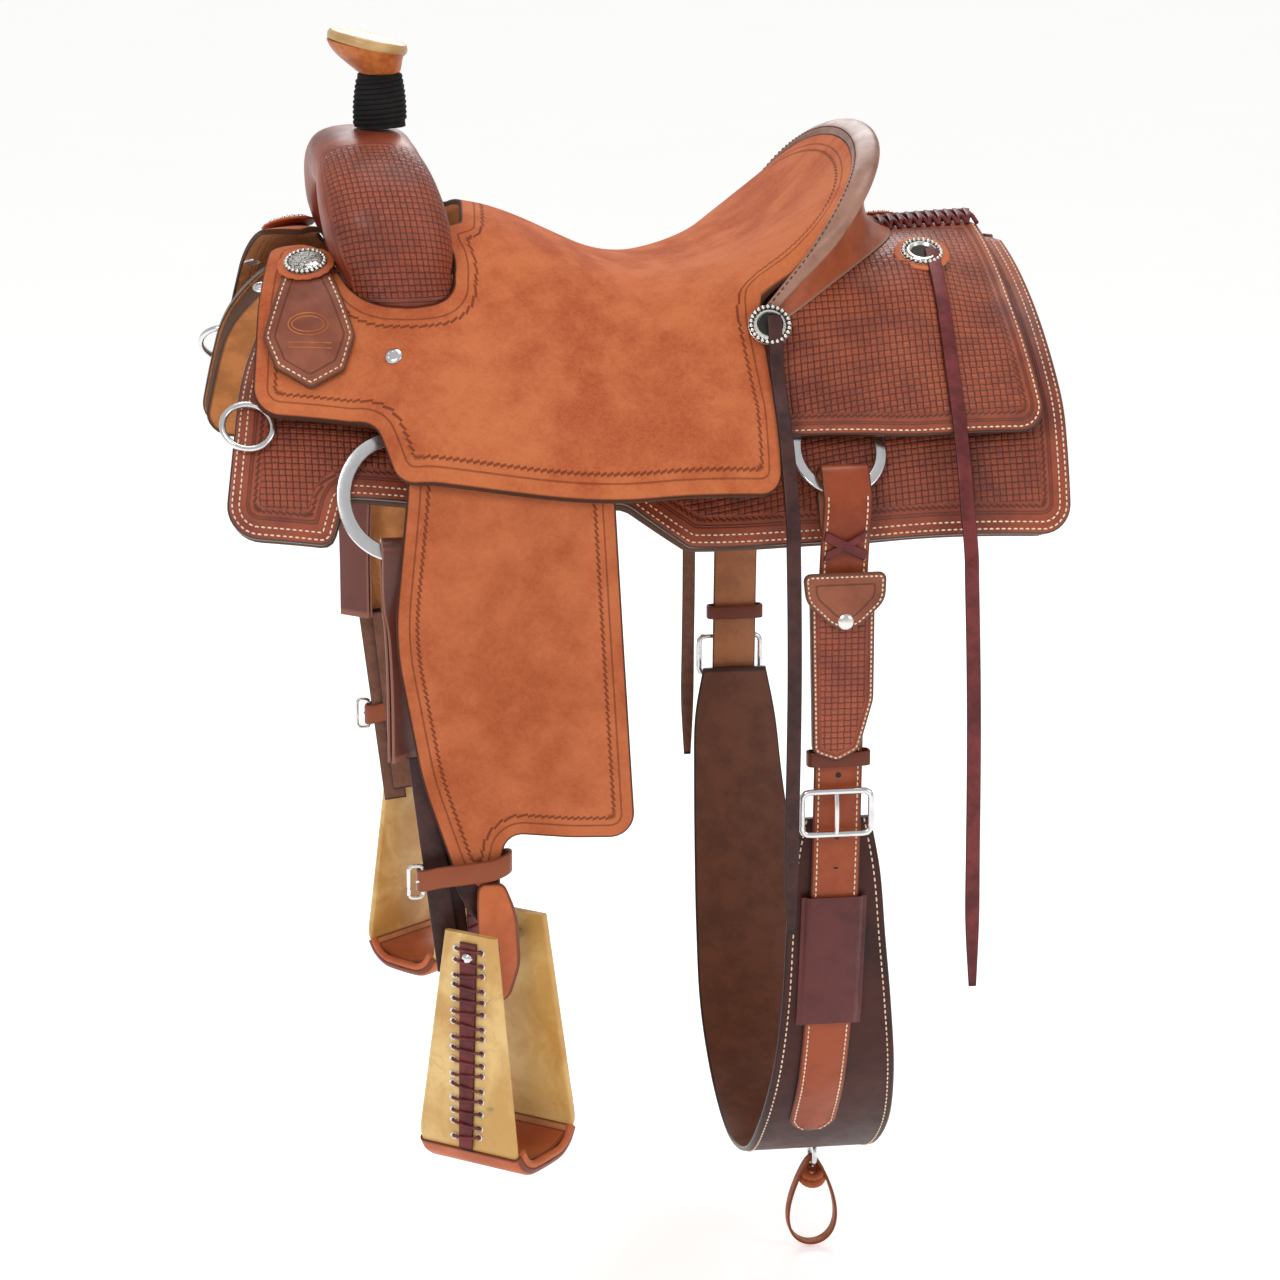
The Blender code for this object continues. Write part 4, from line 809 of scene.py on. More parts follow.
FRONT_RING = (-0.199, 0.266, 0.0455, 0.0450, 0.0120)   # x, s, half length, half height, bar width
REAR_RING = (0.177, 0.235, 0.0365, 0.0365, 0.0090)
BILLET_WIDTH = 0.042
CONCHO_R, CONCHO_THICK = 0.0185, 0.0038
STRING_WIDTH, STRING_THICK, STRING_OUT = 0.0125, 0.0028, 0.2795
KEEPER_THICK = 0.0032
STAMP_X, STAMP_LIFT = -0.266, 0.0031
SHEATH_OUT, SHEATH_THICK = 0.2628, 0.0072
FLAP_OUT, FLAP_THICK = 0.2714, 0.0030
CINCH_DEE_X, CINCH_DEE_Z = 0.203, -0.8065
FRONT_CONCHO, SEAT_CONCHO, REAR_CONCHO = (-0.263, 0.087), (0.118, 0.141), (0.272, 0.078)   # (x, s)

NEAR, OFF = -1, 1
SIDES = (("near", NEAR), ("off", OFF))
FENDER_TOP = -0.072       # the fender's upper edge, hidden under the seat jockey
SWELL_FOOT_HALF = 0.046   # half the swell's length where the seat leather meets it


# ---------------------------------------------------------------- the saddle's shape
def smooth_step(low, high, value):
    t = min(max((value - low) / (high - low), 0.0), 1.0)
    return t * t * (3 - 2 * t)


def rounded(points):
    """A closed outline of (u, v, radius) corners with each corner as an arc."""
    outline = []
    count = len(points)
    for i, (u, v, radius) in enumerate(points):
        here = Vector((u, v))
        if radius <= 0:
            outline.append(here)
            continue
        back = (Vector(points[i - 1][:2]) - here)
        ahead = (Vector(points[(i + 1) % count][:2]) - here)
        half = back.angle(ahead) / 2
        reach = min(radius / math.tan(half), 0.49 * back.length, 0.49 * ahead.length)
        radius = reach * math.tan(half)
        centre = here + (back.normalized() + ahead.normalized()).normalized() * radius / math.sin(half)
        start = here + back.normalized() * reach - centre
        turn = start.angle_signed(here + ahead.normalized() * reach - centre)
        steps = max(4, math.ceil(abs(turn) * radius / 0.003))
        for k in range(steps + 1):
            outline.append(centre + Matrix.Rotation(-turn * k / steps, 2) @ start)
    return outline


def rise(x):
    """How much higher the back is at x than at its lowest place."""
    return DIP * (1 - math.exp(-(x / DIP_LENGTH) ** 2))


def slope(s):
    """The angle of the back's side at distance s from the ridge."""
    return RIDGE_ANGLE + abs(s) / BARREL_R


def drape(x, s, lift, side):
    """The point at distance s down the side, lifted along the surface's normal."""
    t = slope(s)
    y = BARREL_R * (math.sin(t) - math.sin(RIDGE_ANGLE)) + lift * math.sin(t)
    z = BARREL_R * (math.cos(t) - math.cos(RIDGE_ANGLE)) + lift * math.cos(t)
    return Vector((x, side * y, z + rise(x)))


def normal_at(s, side):
    t = slope(s)
    return Vector((0, side * math.sin(t), math.cos(t)))


def bars(x, s):
    """How far the tree's bars and the cantle's foot lift the leather above them."""
    height = BAR_HEIGHT + CANTLE_BASE * math.exp(-((x - CANTLE_BASE_X) / 0.07) ** 2)
    across = math.sin(math.pi * min(abs(s) / BAR_SPREAD, 1.0)) ** 2
    return height * across * (1 - smooth_step(BAR_END, BAR_END + 0.08, abs(x)))


def flare(x, s):
    """How far the stirrup leathers lift the leather over them."""
    along = smooth_step(-0.24, -0.17, x) * (1 - smooth_step(0.05, 0.19, x))
    return FLARE * along * smooth_step(0.08, 0.25, abs(s))


def jockey_lift(x, s):
    return JOCKEY_LOW + bars(x, s)


def seat_crest(x):
    """Height of the seat's underside above the draped layers, on the centre line."""
    front = 0.043 * smooth_step(0.0, 1.0, (0.055 - x) / 0.165)
    return (0.006 + front) * smooth_step(-0.240, -0.155, x)


def seat_low_point(x, s, side):
    """The underside of the seat leather, before the cantle's dish is added."""
    centre = 0.5 + 0.5 * math.cos(math.pi * min(abs(s) / 0.14, 1.0))
    lift = SEAT_LOW + bars(x, s) + flare(x, s) + seat_crest(x) * centre
    t = slope(s)
    near_ridge = 0.05
    if abs(s) < near_ridge:
        t = slope(near_ridge) * math.sin(math.pi / 2 * abs(s) / near_ridge)
    flat = slope(s)
    y = BARREL_R * (math.sin(flat) - math.sin(RIDGE_ANGLE)) + lift * math.sin(t)
    z = BARREL_R * (math.cos(flat) - math.cos(RIDGE_ANGLE)) + lift * math.cos(t)
    soften = 0.006 * math.exp(-(abs(s) / 0.03) ** 2)
    return Vector((x, side * y, z + rise(x) - soften))


def cantle_rim(fraction, side=OFF):
    """The top edge of the dish: fraction is 0 at the centre and 1 at the cantle's end."""
    end = seat_low_point(CANTLE_END_X, CANTLE_END_S, OFF)
    angle = math.pi / 2 * min(abs(fraction), 1.0)
    up = max(math.cos(angle), 0.0) ** CANTLE_POWER
    y = end.y * math.sin(angle)
    return Vector((end.x + (CANTLE_TOP_X - end.x) * up, side * y,
                   end.z + (CANTLE_TOP_Z - end.z) * up))


def dish_length(s):
    """Flat x at which the seat leather reaches the cantle's rim."""
    up = math.cos(math.pi / 2 * min(abs(s) / CANTLE_END_S, 1.0)) ** CANTLE_POWER
    return CANTLE_END_X + 0.118 * up


def seat_surface(x, s, side):
    """The underside of the seat leather, with the dish that climbs the cantle."""
    if x <= DISH_START or abs(s) > CANTLE_END_S:
        return seat_low_point(x, s, side)
    end_x = dish_length(s)
    t = min((x - DISH_START) / (end_x - DISH_START), 1.0)
    start = seat_low_point(DISH_START, s, side)
    rim = cantle_rim(abs(s) / CANTLE_END_S, side)
    reach = (rim - start).length
    lead = (seat_low_point(DISH_START + 0.002, s, side) - start).normalized() * reach * 1.15
    steep = 1.0 - (abs(s) / CANTLE_END_S) ** 3
    arrive = Vector((0.75, 0.0, 0.75 * steep + 0.12)).normalized() * reach
    h00, h10 = 2 * t ** 3 - 3 * t ** 2 + 1, t ** 3 - 2 * t ** 2 + t
    h01, h11 = -2 * t ** 3 + 3 * t ** 2, t ** 3 - t ** 2
    return start * h00 + lead * h10 + rim * h01 + arrive * h11


def seat_point(x, s, height, side):
    """A point above the seat leather's underside, measured along its normal."""
    d = 0.001
    signed = s * side
    here = seat_surface(x, s, side)
    fore = seat_surface(x - d, s, side)
    left, right = signed - d, signed + d
    a = seat_surface(x, abs(left), OFF if left >= 0 else NEAR)
    b = seat_surface(x, abs(right), OFF if right >= 0 else NEAR)
    normal = (here - fore).cross(b - a).normalized()
    if normal.z < 0:
        normal = -normal
    return here + normal * height


# Cut outlines: corners as (x, distance down the side, radius); the fender's second number is z.
SKIRT = [(-0.285, 0.055, 0.02), (-0.325, 0.170, 0.3), (-0.345, 0.302, 0.026), (-0.256, 0.308, 0.012),
         (-0.243, 0.268, 0.012), (-0.160, 0.266, 0.02), (-0.006, 0.245, 0.02), (0.046, 0.287, 0.01),
         (0.200, 0.312, 0.3), (0.374, 0.323, 0.025), (0.378, 0.215, 0.3), (0.362, 0.004, 0.008),
         (0.215, 0.004, 0.02), (0.160, 0.055, 0.03)]
REAR_JOCKEY = [(0.110, 0.060, 0.01), (0.205, 0.060, 0.03), (0.225, 0.004, 0.02), (0.338, 0.004, 0.008),
               (0.345, 0.116, 0.3), (0.358, 0.243, 0.022), (0.240, 0.238, 0.3), (0.110, 0.214, 0.01)]
KITE = [(-0.277, 0.084, 0.01), (-0.249, 0.084, 0.01), (-0.227, 0.147, 0.008), (-0.239, 0.174, 0.006),
        (-0.268, 0.191, 0.006), (-0.296, 0.175, 0.006), (-0.304, 0.148, 0.008)]
SEAT_FRONT_FLAP = [(-0.262, 0.030, 0.015), (-0.290, 0.040, 0.02), (-0.306, 0.115, 0.3),
                   (-0.319, 0.212, 0.022), (-0.215, 0.217, 0.02), (-0.199, 0.268, 0.018),
                   (0.030, 0.262, 0.3), (0.119, 0.270, 0.018), (0.124, 0.200, 0)]
FENDER = [(-0.024, -0.113, 0.006), (-0.014, -0.250, 0.5), (-0.005, -0.405, 0.020),
          (-0.060, -0.403, 0.2), (-0.116, -0.397, 0.016), (-0.121, -0.432, 0.01),
          (-0.137, -0.446, 0.004), (-0.160, -0.430, 0.02), (-0.186, -0.350, 0.3),
          (-0.208, -0.225, 0.25), (-0.192, -0.113, 0.006)]


# The swell's sections from its crown to its foot: (half span, height) and (middle x, half length).
GULLET = [(0.0, 0.112), (0.040, 0.108), (0.066, 0.092), (0.078, 0.068), (0.080, 0.048), (0.082, 0.031)]
SWELL_OUT = [(0.0, 0.166), (0.060, 0.162), (0.106, 0.144), (0.138, 0.111), (0.151, 0.068), (0.147, 0.025)]
SWELL_X = [(-0.206, 0.041), (-0.204, 0.046), (-0.200, 0.051), (-0.194, 0.053), (-0.188, 0.047),
           (-0.182, 0.027)]


def smooth_list(values, t):
    """Catmull-Rom through a list of tuples, t from 0 to 1."""
    at = t * (len(values) - 1)
    i = min(int(at), len(values) - 2)
    f = at - i
    mirrored = tuple(-c if k == 0 and len(values[0]) == 2 and values[0][0] == 0.0 else c
                     for k, c in enumerate(values[1]))
    before = values[i - 1] if i > 0 else mirrored
    after = values[i + 2] if i + 2 < len(values) else values[-1]
    a, b = values[i], values[i + 1]
    return [0.5 * (2 * q + (r - p) * f + (2 * p - 5 * q + 4 * r - w) * f ** 2
                   + (3 * q - p - 3 * r + w) * f ** 3)
            for p, q, r, w in zip(before, a, b, after)]


def ring_point(x, s, half_x, half_s, low_top, low_bottom, angle, side, across=0.0, up=0.0):
    """A point on a flat ring that leans on the side: across is towards its outside."""
    top = drape(x, s - half_s, low_top, side)
    bottom = drape(x, s + half_s, low_bottom, side)
    down = (bottom - top).normalized()
    ahead = Vector((1, 0, 0))
    out = down.cross(ahead).normalized()
    if out.y * side < 0:
        out = -out
    middle = (top + bottom) / 2
    round_x, round_s = math.cos(angle), math.sin(angle)
    tall = (bottom - top).length / 2
    return (middle + ahead * (round_x * (half_x + across)) + down * (round_s * (tall + across))
            + out * up)


def front_place(side):
    x, s, half_x, half_s, _ = FRONT_RING
    return lambda a, across, up: ring_point(x, s, half_x, half_s, 0.0338, 0.0264, a, side, across, up)


def rear_place(side):
    x, s, half_x, half_s, _ = REAR_RING
    return lambda a, across, up: ring_point(x, s, half_x, half_s, 0.0250, 0.0355, a, side, across, up)


def stirrup_place(side, along, across, z):
    """Stirrup coordinates: along the bolt (+ towards the far panel), across it, and up."""
    bolt = Vector((math.cos(STIRRUP_TURN), -side * math.sin(STIRRUP_TURN), 0))
    cross = Vector((side * math.sin(STIRRUP_TURN), math.cos(STIRRUP_TURN), 0))
    return Vector((STIRRUP_X, side * STIRRUP_Y, z)) + bolt * along + cross * across


def stirrup_axes(side):
    """Directions along the stirrup's bolt and across it."""
    base = stirrup_place(side, 0, 0, 0)
    return stirrup_place(side, 1, 0, 0) - base, stirrup_place(side, 0, 1, 0) - base


# The flank cinch from the billet to its lowest point: (y, z, half width).
CINCH_LINE = [(0.2530, -0.400, 0.031), (0.2520, -0.450, 0.040), (0.2470, -0.510, 0.044),
              (0.2350, -0.580, 0.049), (0.2080, -0.650, 0.055), (0.1600, -0.715, 0.060),
              (0.0900, -0.765, 0.060), (0.0, -0.785, 0.060)]


def cinch_lean(z):
    """x of the flank cinch's middle at height z."""
    return 0.170 + 0.012 * smooth_step(0.40, 0.72, -z)


# ---------------------------------------------------------------- seat, skirts and jockeys
def seat_frame(x, s, side, height=0.0):
    """A point above the seat's underside and the normal there."""
    base = seat_point(x, s, height, side)
    above = seat_point(x, s, height + 0.01, side)
    return base, (above - base) / 0.01


def seat_place(height=0.0, side=None):
    """Seat surface as place(u, v); a signed v serves both sides where side isn't given."""
    def place(x, s):
        return seat_frame(x, abs(s), side or (OFF if s >= 0 else NEAR), height)
    return place


def drape_place(side, lift):
    """Draped surface as place(x, s); lift is a number or a function of both."""
    lift_at = lift if callable(lift) else lambda x, s: lift
    return lambda x, s: (drape(x, s, lift_at(x, s), side), normal_at(s, side))


def swell_power(u):
    """Squareness of the swell's section: a rounded box at the top, nearly an ellipse at its foot."""
    return 0.72 + 0.26 * smooth_step(0.45, 0.95, u)


def swell_contour(clear):
    """Where the swell meets the seat leather, as flat (x, s), from the rear round to the front."""
    contour = []
    for k in range(29):
        angle = math.radians(128 - 256 * k / 28)
        for step in range(60):
            u = 0.5 + step * 0.5 / 59
            inner, outer = smooth_list(GULLET, u), smooth_list(SWELL_OUT, u)
            x_mid, x_half = smooth_list(SWELL_X, u)
            x_half = max(x_half, SWELL_FOOT_HALF)
            low, high = Vector(inner), Vector(outer)
            half = (high - low).length / 2
            sa, ca = math.sin(angle), math.cos(angle)
            power = swell_power(u)
            radial = (high - low).normalized()
            flat = (low + high) / 2 + radial * (math.copysign(abs(ca) ** power, ca) * half)
            x = x_mid + math.copysign(abs(sa) ** power, sa) * x_half
            across = flat[0] + BARREL_R * math.sin(RIDGE_ANGLE)
            tall = flat[1] - rise(x) + BARREL_R * math.cos(RIDGE_ANGLE)
            s = (math.atan2(across, tall) - RIDGE_ANGLE) * BARREL_R
            centre = 0.5 + 0.5 * math.cos(math.pi * min(abs(s) / 0.14, 1.0))
            seat_lift = SEAT_LOW + SEAT_THICK + bars(x, s) + flare(x, s) + seat_crest(x) * centre
            if math.hypot(across, tall) - BARREL_R <= seat_lift:
                break
        contour.append(Vector((x, s)))
    middle = sum(contour, Vector((0, 0))) / len(contour)
    return [p + (p - middle).normalized() * clear for p in contour]


def seat_outline():
    steps = [CANTLE_END_S * (1 - k / 40) for k in range(40)]
    rear = [Vector((dish_length(s), s)) for s in steps]
    outer = rounded(SEAT_FRONT_FLAP) + rear
    inner = [Vector((-0.128, 0.034))] + [p for p in swell_contour(0.0016) if p.y > 0.050]
    flip = lambda points: [Vector((p.x, -p.y)) for p in reversed(points)]
    return (outer + [Vector((dish_length(0), 0))] + flip(outer) + flip(inner)
            + [Vector((-0.122, 0.0))] + inner)


def seat():
    hide("seat_leather", seat_outline(), seat_place(), SEAT_THICK, "rough_out", "saddle", ["seat"],
         cell=0.0055)


def skirts(name, side):
    skirt = rounded(SKIRT)
    place = drape_place(side, SKIRT_LOW)
    thick = SKIRT_TOP - SKIRT_LOW
    hide(f"{name}_skirt_leather", skirt, place, thick, "skirt", "saddle", [f"{name}_skirt"],
         cell=0.006)
    sew_outline(f"{name}_skirt_stitching", skirt, (0.0040, 0.0098), place, thick, "saddle",
                keep=lambda u, v: v > 0.012)
    lining = rounded([(x * 0.992, s, r) for x, s, r in SKIRT])
    hide(f"{name}_skirt_lining", lining, drape_place(side, 0.0), LINING_TOP, "lining", "saddle",
         [f"{name}_lining"], cell=0.008)

    jockey = rounded(REAR_JOCKEY)
    place = drape_place(side, jockey_lift)
    thick = JOCKEY_TOP - JOCKEY_LOW
    hide(f"{name}_rear_jockey_leather", jockey, place, thick, "jockey", "saddle",
         [f"{name}_rear_jockey"], cell=0.006)
    sew_outline(f"{name}_rear_jockey_stitching", jockey, (0.0042,), place, thick, "saddle",
                keep=lambda u, v: v > 0.012 and u > 0.13)


def keeper(name, side):
    """The kite shaped string keeper, with a plain oval and bars stamped on it."""
    outline = rounded(KITE)
    place = seat_place(SEAT_THICK + 0.0024, side)
    hide(f"{name}_kite_keeper", outline, place, KEEPER_THICK, "kite", "saddle", [f"{name}_keeper"],
         cell=0.0035)
    sew_outline(f"{name}_keeper_stitching", outline, (0.0042,), place, KEEPER_THICK, "saddle",
                keep=lambda u, v: v > 0.100)
    stamp = []
    for ru, rv in ((0.0155, 0.0085), (0.0125, 0.0058)):
        ring = [place(STAMP_X + ru * math.cos(a), 0.140 + rv * math.sin(a)) for a in turns(28)]
        stamp.append(tube([p + n * STAMP_LIFT for p, n in ring], 0.00055, 6, closed=True, per=1))
    for v in (0.154, 0.158):
        ends = [place(STAMP_X + u, v) for u in (-0.017, -0.006, 0.006, 0.017)]
        stamp.append(tube([p + n * STAMP_LIFT for p, n in ends], 0.0005, 6))
    solid_of(f"{name}_keeper_stamp", stamp, "cone", "saddle")


def rigging_strap(name, side):
    outline = rounded([(-0.236, 0.160, 0.004), (-0.198, 0.160, 0.004), (-0.198, 0.209, 0.004),
                       (-0.236, 0.209, 0.004)])
    hide(f"{name}_rigging_leather", outline, drape_place(side, SKIRT_TOP + 0.0012), 0.0044, "plain_tan",
         "saddle", [f"{name}_rigging_strap"], cell=0.004)
    for number, shift in enumerate((-0.006, 0.006)):
        line = []
        for k in range(6):
            t = k / 5
            place = drape_place(side, SKIRT_TOP + 0.0072 + 0.002 * math.sin(math.pi * t))
            point, normal = place(-0.236 + 0.036 * t, 0.180 + shift * (1 - 2 * t))
            line.append((point, Vector((0, 0, 0.0034)), normal * 0.0009))
        strap(f"{name}_rigging_tie_{number}", line, "burgundy", "saddle")


# ---------------------------------------------------------------- swell, horn and cantle
def swell():
    """The swell's cover: a sheet wrapped round the fork, open towards the gullet."""
    rows, cols = 72, 56
    wrap = math.radians(142)
    stations = [-1 + 2 * i / rows for i in range(rows + 1)]
    angles = [-wrap + 2 * wrap * k / cols for k in range(cols + 1)]

    def widened(u, inset):
        """The fork's section, kept broad down to its foot and rounder there."""
        side = OFF if u >= 0 else NEAR
        inner, outer = smooth_list(GULLET, abs(u)), smooth_list(SWELL_OUT, abs(u))
        x_mid, x_half = smooth_list(SWELL_X, abs(u))
        x_half = max(x_half, SWELL_FOOT_HALF) - inset
        low_end = Vector((0, side * inner[0], inner[1]))
        high_end = Vector((0, side * outer[0], outer[1]))
        half = (high_end - low_end).length / 2 - inset
        radial, power = (high_end - low_end).normalized(), swell_power(abs(u))
        ring = []
        for angle in angles:
            ca, sa = math.cos(angle), math.sin(angle)
            ring.append((low_end + high_end) / 2 + radial * (math.copysign(abs(ca) ** power, ca) * half)
                        + Vector((x_mid + math.copysign(abs(sa) ** power, sa) * x_half, 0, 0)))
        return ring
    top = [widened(u, 0.0) for u in stations]
    low = [widened(u, 0.0030) for u in stations]
    verts = [p for row in top for p in row] + [p for row in low for p in row]
    half = (rows + 1) * (cols + 1)
    flat = []
    across = [0.0] * (cols + 1)
    middle = cols // 2
    for i in range(rows + 1):
        run_v = [0.0]
        for j in range(cols):
            run_v.append(run_v[-1] + (top[i][j + 1] - top[i][j]).length)
        if i:
            across = [a + (top[i][j] - top[i - 1][j]).length for j, a in enumerate(across)]
        for j in range(cols + 1):
            flat.append([across[middle], run_v[j] - run_v[middle], 0.0])
    foot = flat[-1][0]
    for i in range(rows + 1):
        reach = flat[i * (cols + 1) + cols][1]
        for j, angle in enumerate(angles):
            item = flat[i * (cols + 1) + j]
            ends = min(item[0], foot - item[0])
            crown = (abs(stations[i]) - 0.15) * 0.20
            turn_limit = math.radians(82 if angle < 0 else 150)
            rim = (turn_limit - abs(angle)) * 0.030 + 0.004
            item[2] = max(min(ends, reach - abs(item[1]), max(rim, 0.004), max(crown, 0.004)), 0.0)
    obj = mesh_object("swell_leather", verts, sheet_faces(rows + 1, cols + 1, ends=True), "swell",
                      {"flat": flat + flat, "face": [1.0] * half + [0.0] * half}, sharp=60)
    finish(obj, "saddle", ["swell_cover"])


def horn_frame(flat, height):
    """A point of the horn's cap, which leans more and more up to its rim."""
    lean = min(height / 0.021, 1.0)
    return (Matrix.Rotation(CAP_TILT * lean, 3, "Y") @ flat + Vector((HORN_X, 0, HORN_NECK_Z + 0.0004)))


def horn_rings(profile, trim=0.0, steps=64):
    """An oval solid on the horn from (size, height, shift along x); trim raises its rear's low side."""
    rings = []
    for out, height, shift in curve_through(profile, 5):
        ring = []
        for a in turns(steps):
            flat = Vector((shift + 0.0345 * out * math.cos(a), 0.0385 * out * math.sin(a), height))
            ring.append(horn_frame(flat, height))
            if trim and height < 0.0305:
                ring[-1].z += trim * (0.0305 - height) / 0.0115 * (0.5 - 0.5 * math.cos(a))
        rings.append(ring)
    return skin(rings)


def horn():
    cone = [(0.50, 0.0, 0.0), (0.57, 0.002, -0.001), (0.70, 0.007, -0.005), (0.86, 0.013, -0.011),
            (0.965, 0.0180, -0.0148), (0.965, 0.0205, -0.015), (0.40, 0.0210, -0.015)]
    solid_of("horn_cone", [horn_rings(cone)], "cone", "saddle", ["horn_cap"])
    ring = [(size, height, -0.0150) for size, height in (
        (0.60, 0.0190), (0.94, 0.0184), (1.00, 0.0196), (1.02, 0.0228), (1.00, 0.0258), (0.93, 0.0284),
        (0.60, 0.0304), (0.20, 0.0312), (0.02, 0.0314))]
    solid_of("horn_rawhide_ring", [horn_rings(ring, 0.0036)], "rawhide_ring", "saddle", ())
    foot, winds = 0.1708, 9.2
    coil = []
    for k in range(int(winds * 24)):
        t = k / (winds * 24 - 1)
        angle = 2 * math.pi * winds * t + 0.6
        radius = 0.0212 - 0.0034 * t + 0.0012 * math.sin(math.pi * t)
        coil.append(Vector((HORN_X + radius * math.cos(angle), radius * math.sin(angle),
                            foot + 0.0405 * t + 0.0012 * math.cos(angle))))
    core = turned([(0.0, 0.168), (0.0225, 0.168), (0.0215, 0.178), (0.0188, 0.2135), (0.0, 0.2135)],
                  Matrix.Translation((HORN_X, 0, 0)))
    solid_of("horn_wrap_coils", [tube(coil, 0.0025, 8, per=1), core], "wrap", "saddle", ["horn_wrap"])


def roll_frame(f):
    """Centre, outward, upward and taper of the cantle binding at a fraction of the rim."""
    side = OFF if f >= 0 else NEAR
    rim = cantle_rim(f, side)
    step = 0.25 * (1 - abs(f)) + 1e-5
    before, after = f - step, f + step
    along = (cantle_rim(after, OFF if after >= 0 else NEAR)
             - cantle_rim(before, OFF if before >= 0 else NEAR)).normalized()
    out = rim - Vector((0.03, rim.y * abs(f) ** 2, 0.06))
    out = (out - along * out.dot(along)).normalized()
    up = along.cross(out).normalized()
    if up.z < 0:
        up = -up
    taper = 1 - 0.62 * abs(f) ** 5
    centre = rim + out * (ROLL_WIDTH * taper / 2 - 0.0028) + up * 0.0042
    return centre, out, up, taper


def cantle():
    """The cantle's roll with its stitching, and the leather behind it."""
    fractions = []
    for k in range(121):
        t = -1 + 2 * k / 120
        fractions.append(math.copysign(0.99995 * (1 - (1 - abs(t)) ** 2.4), t))
    rings, flat, track = [], [], []
    for f in fractions:
        centre, out, up, taper = roll_frame(f)
        ring = []
        for k, a in enumerate(turns(20, 0.5)):
            ring.append(centre + out * (math.cos(a) * ROLL_WIDTH * taper / 2)
                        + up * (math.sin(a) * ROLL_THICK * taper / 2))
            flat.append((centre.y, k * 0.003, 0.01))
        rings.append(ring)
        inner = math.radians(128)
        direction = (out * (math.cos(inner) * ROLL_THICK) + up * (math.sin(inner) * ROLL_WIDTH)).normalized()
        track.append((centre + out * (math.cos(inner) * ROLL_WIDTH * taper / 2)
                      + up * (math.sin(inner) * ROLL_THICK * taper / 2), direction))
    finish(mesh_object("cantle_roll", *skin(rings), "roll", {"flat": flat, "face": [1.0] * len(flat)}),
           "saddle", ["cantle_binding"])
    sewing = Sewing()
    sewing.row(track[3:-3], pitch=0.0058, length=0.0042, width=0.0013)
    sewing.done("cantle_roll_stitching", "saddle", "dark_thread")

    rows = []
    count = 64
    for k in range(count + 1):
        t = -1 + 2 * k / count
        f = math.copysign(0.9999 * (1 - (1 - abs(t)) ** 2.0), t)
        side = OFF if f >= 0 else NEAR
        rim = cantle_rim(f, side)
        angle = math.pi / 2 * abs(f)
        foot_x = 0.128 + 0.132 * max(math.cos(angle), 0) ** 0.72
        foot_s = 0.004 + 0.133 * abs(f)
        foot = drape(foot_x, foot_s, JOCKEY_TOP + 0.0010 + bars(foot_x, foot_s), side)
        top = rim + Vector((0.010, 0, -0.006)) * (1 - 0.6 * abs(f) ** 6)
        lean = Vector((-0.010, 0, -0.012)) * (1 - abs(f) ** 2)
        rows.append([Vector(v) for v in curve_through([top, top.lerp(foot, 0.35) + lean,
                                                       top.lerp(foot, 0.7) + lean, foot], 6)])
    shift = Vector((-0.0026, 0, 0.0005))
    outer = [p for row in rows for p in row]
    verts = outer + [p + shift for p in outer]
    flat = []
    for i, row in enumerate(rows):
        down = 0.0
        for j, point in enumerate(row):
            down += (point - row[j - 1]).length if j else 0.0
            left = (row[-1] - point).length
            flat.append((i * 0.0052, down, min(left, 0.0045 + down)))
    back = mesh_object("cantle_back_leather", verts, sheet_faces(len(rows), len(rows[0])), "cover",
                       {"flat": flat + flat, "face": [1.0] * len(verts)})
    finish(back, "saddle", ["cantle_cover"])


def ridge_lacing():
    """Burgundy lace that joins the two sides over the ridge behind the cantle."""
    parts = []
    first, last, count = 0.238, 0.334, 12
    for k in range(count):
        x = first + (last - first) * k / (count - 1)
        for way in (1, -1):
            line = []
            for j in range(7):
                t = j / 6
                s = (t - 0.5) * 0.026
                lift = JOCKEY_TOP + 0.0008 + 0.0042 * math.sin(math.pi * t)
                line.append(drape(x + way * 0.0045 * (t - 0.5) * 2, abs(s), lift, OFF if s >= 0 else NEAR))
            parts.append(tube(line, 0.0020, 7, per=3))
    spine = [drape(first - 0.004 + (last - first + 0.008) * k / 9, 0.0, JOCKEY_TOP + 0.0030, OFF)
             for k in range(10)]
    parts.append(tube(spine, 0.0034, 8, per=3))
    solid_of("ridge_lacing", parts, "burgundy", "saddle")


# ---------------------------------------------------------------- metal
def facing(point, normal):
    """A frame at the point whose Z axis is the normal."""
    turn = Vector((0, 0, 1)).rotation_difference(normal).to_matrix().to_4x4()
    return Matrix.Translation(point) @ turn


def ball(centre, radius):
    """A small bead."""
    profile = [(radius * math.sin(math.pi * k / 6), -radius * math.cos(math.pi * k / 6)) for k in range(7)]
    return turned(profile, Matrix.Translation(centre), 8)


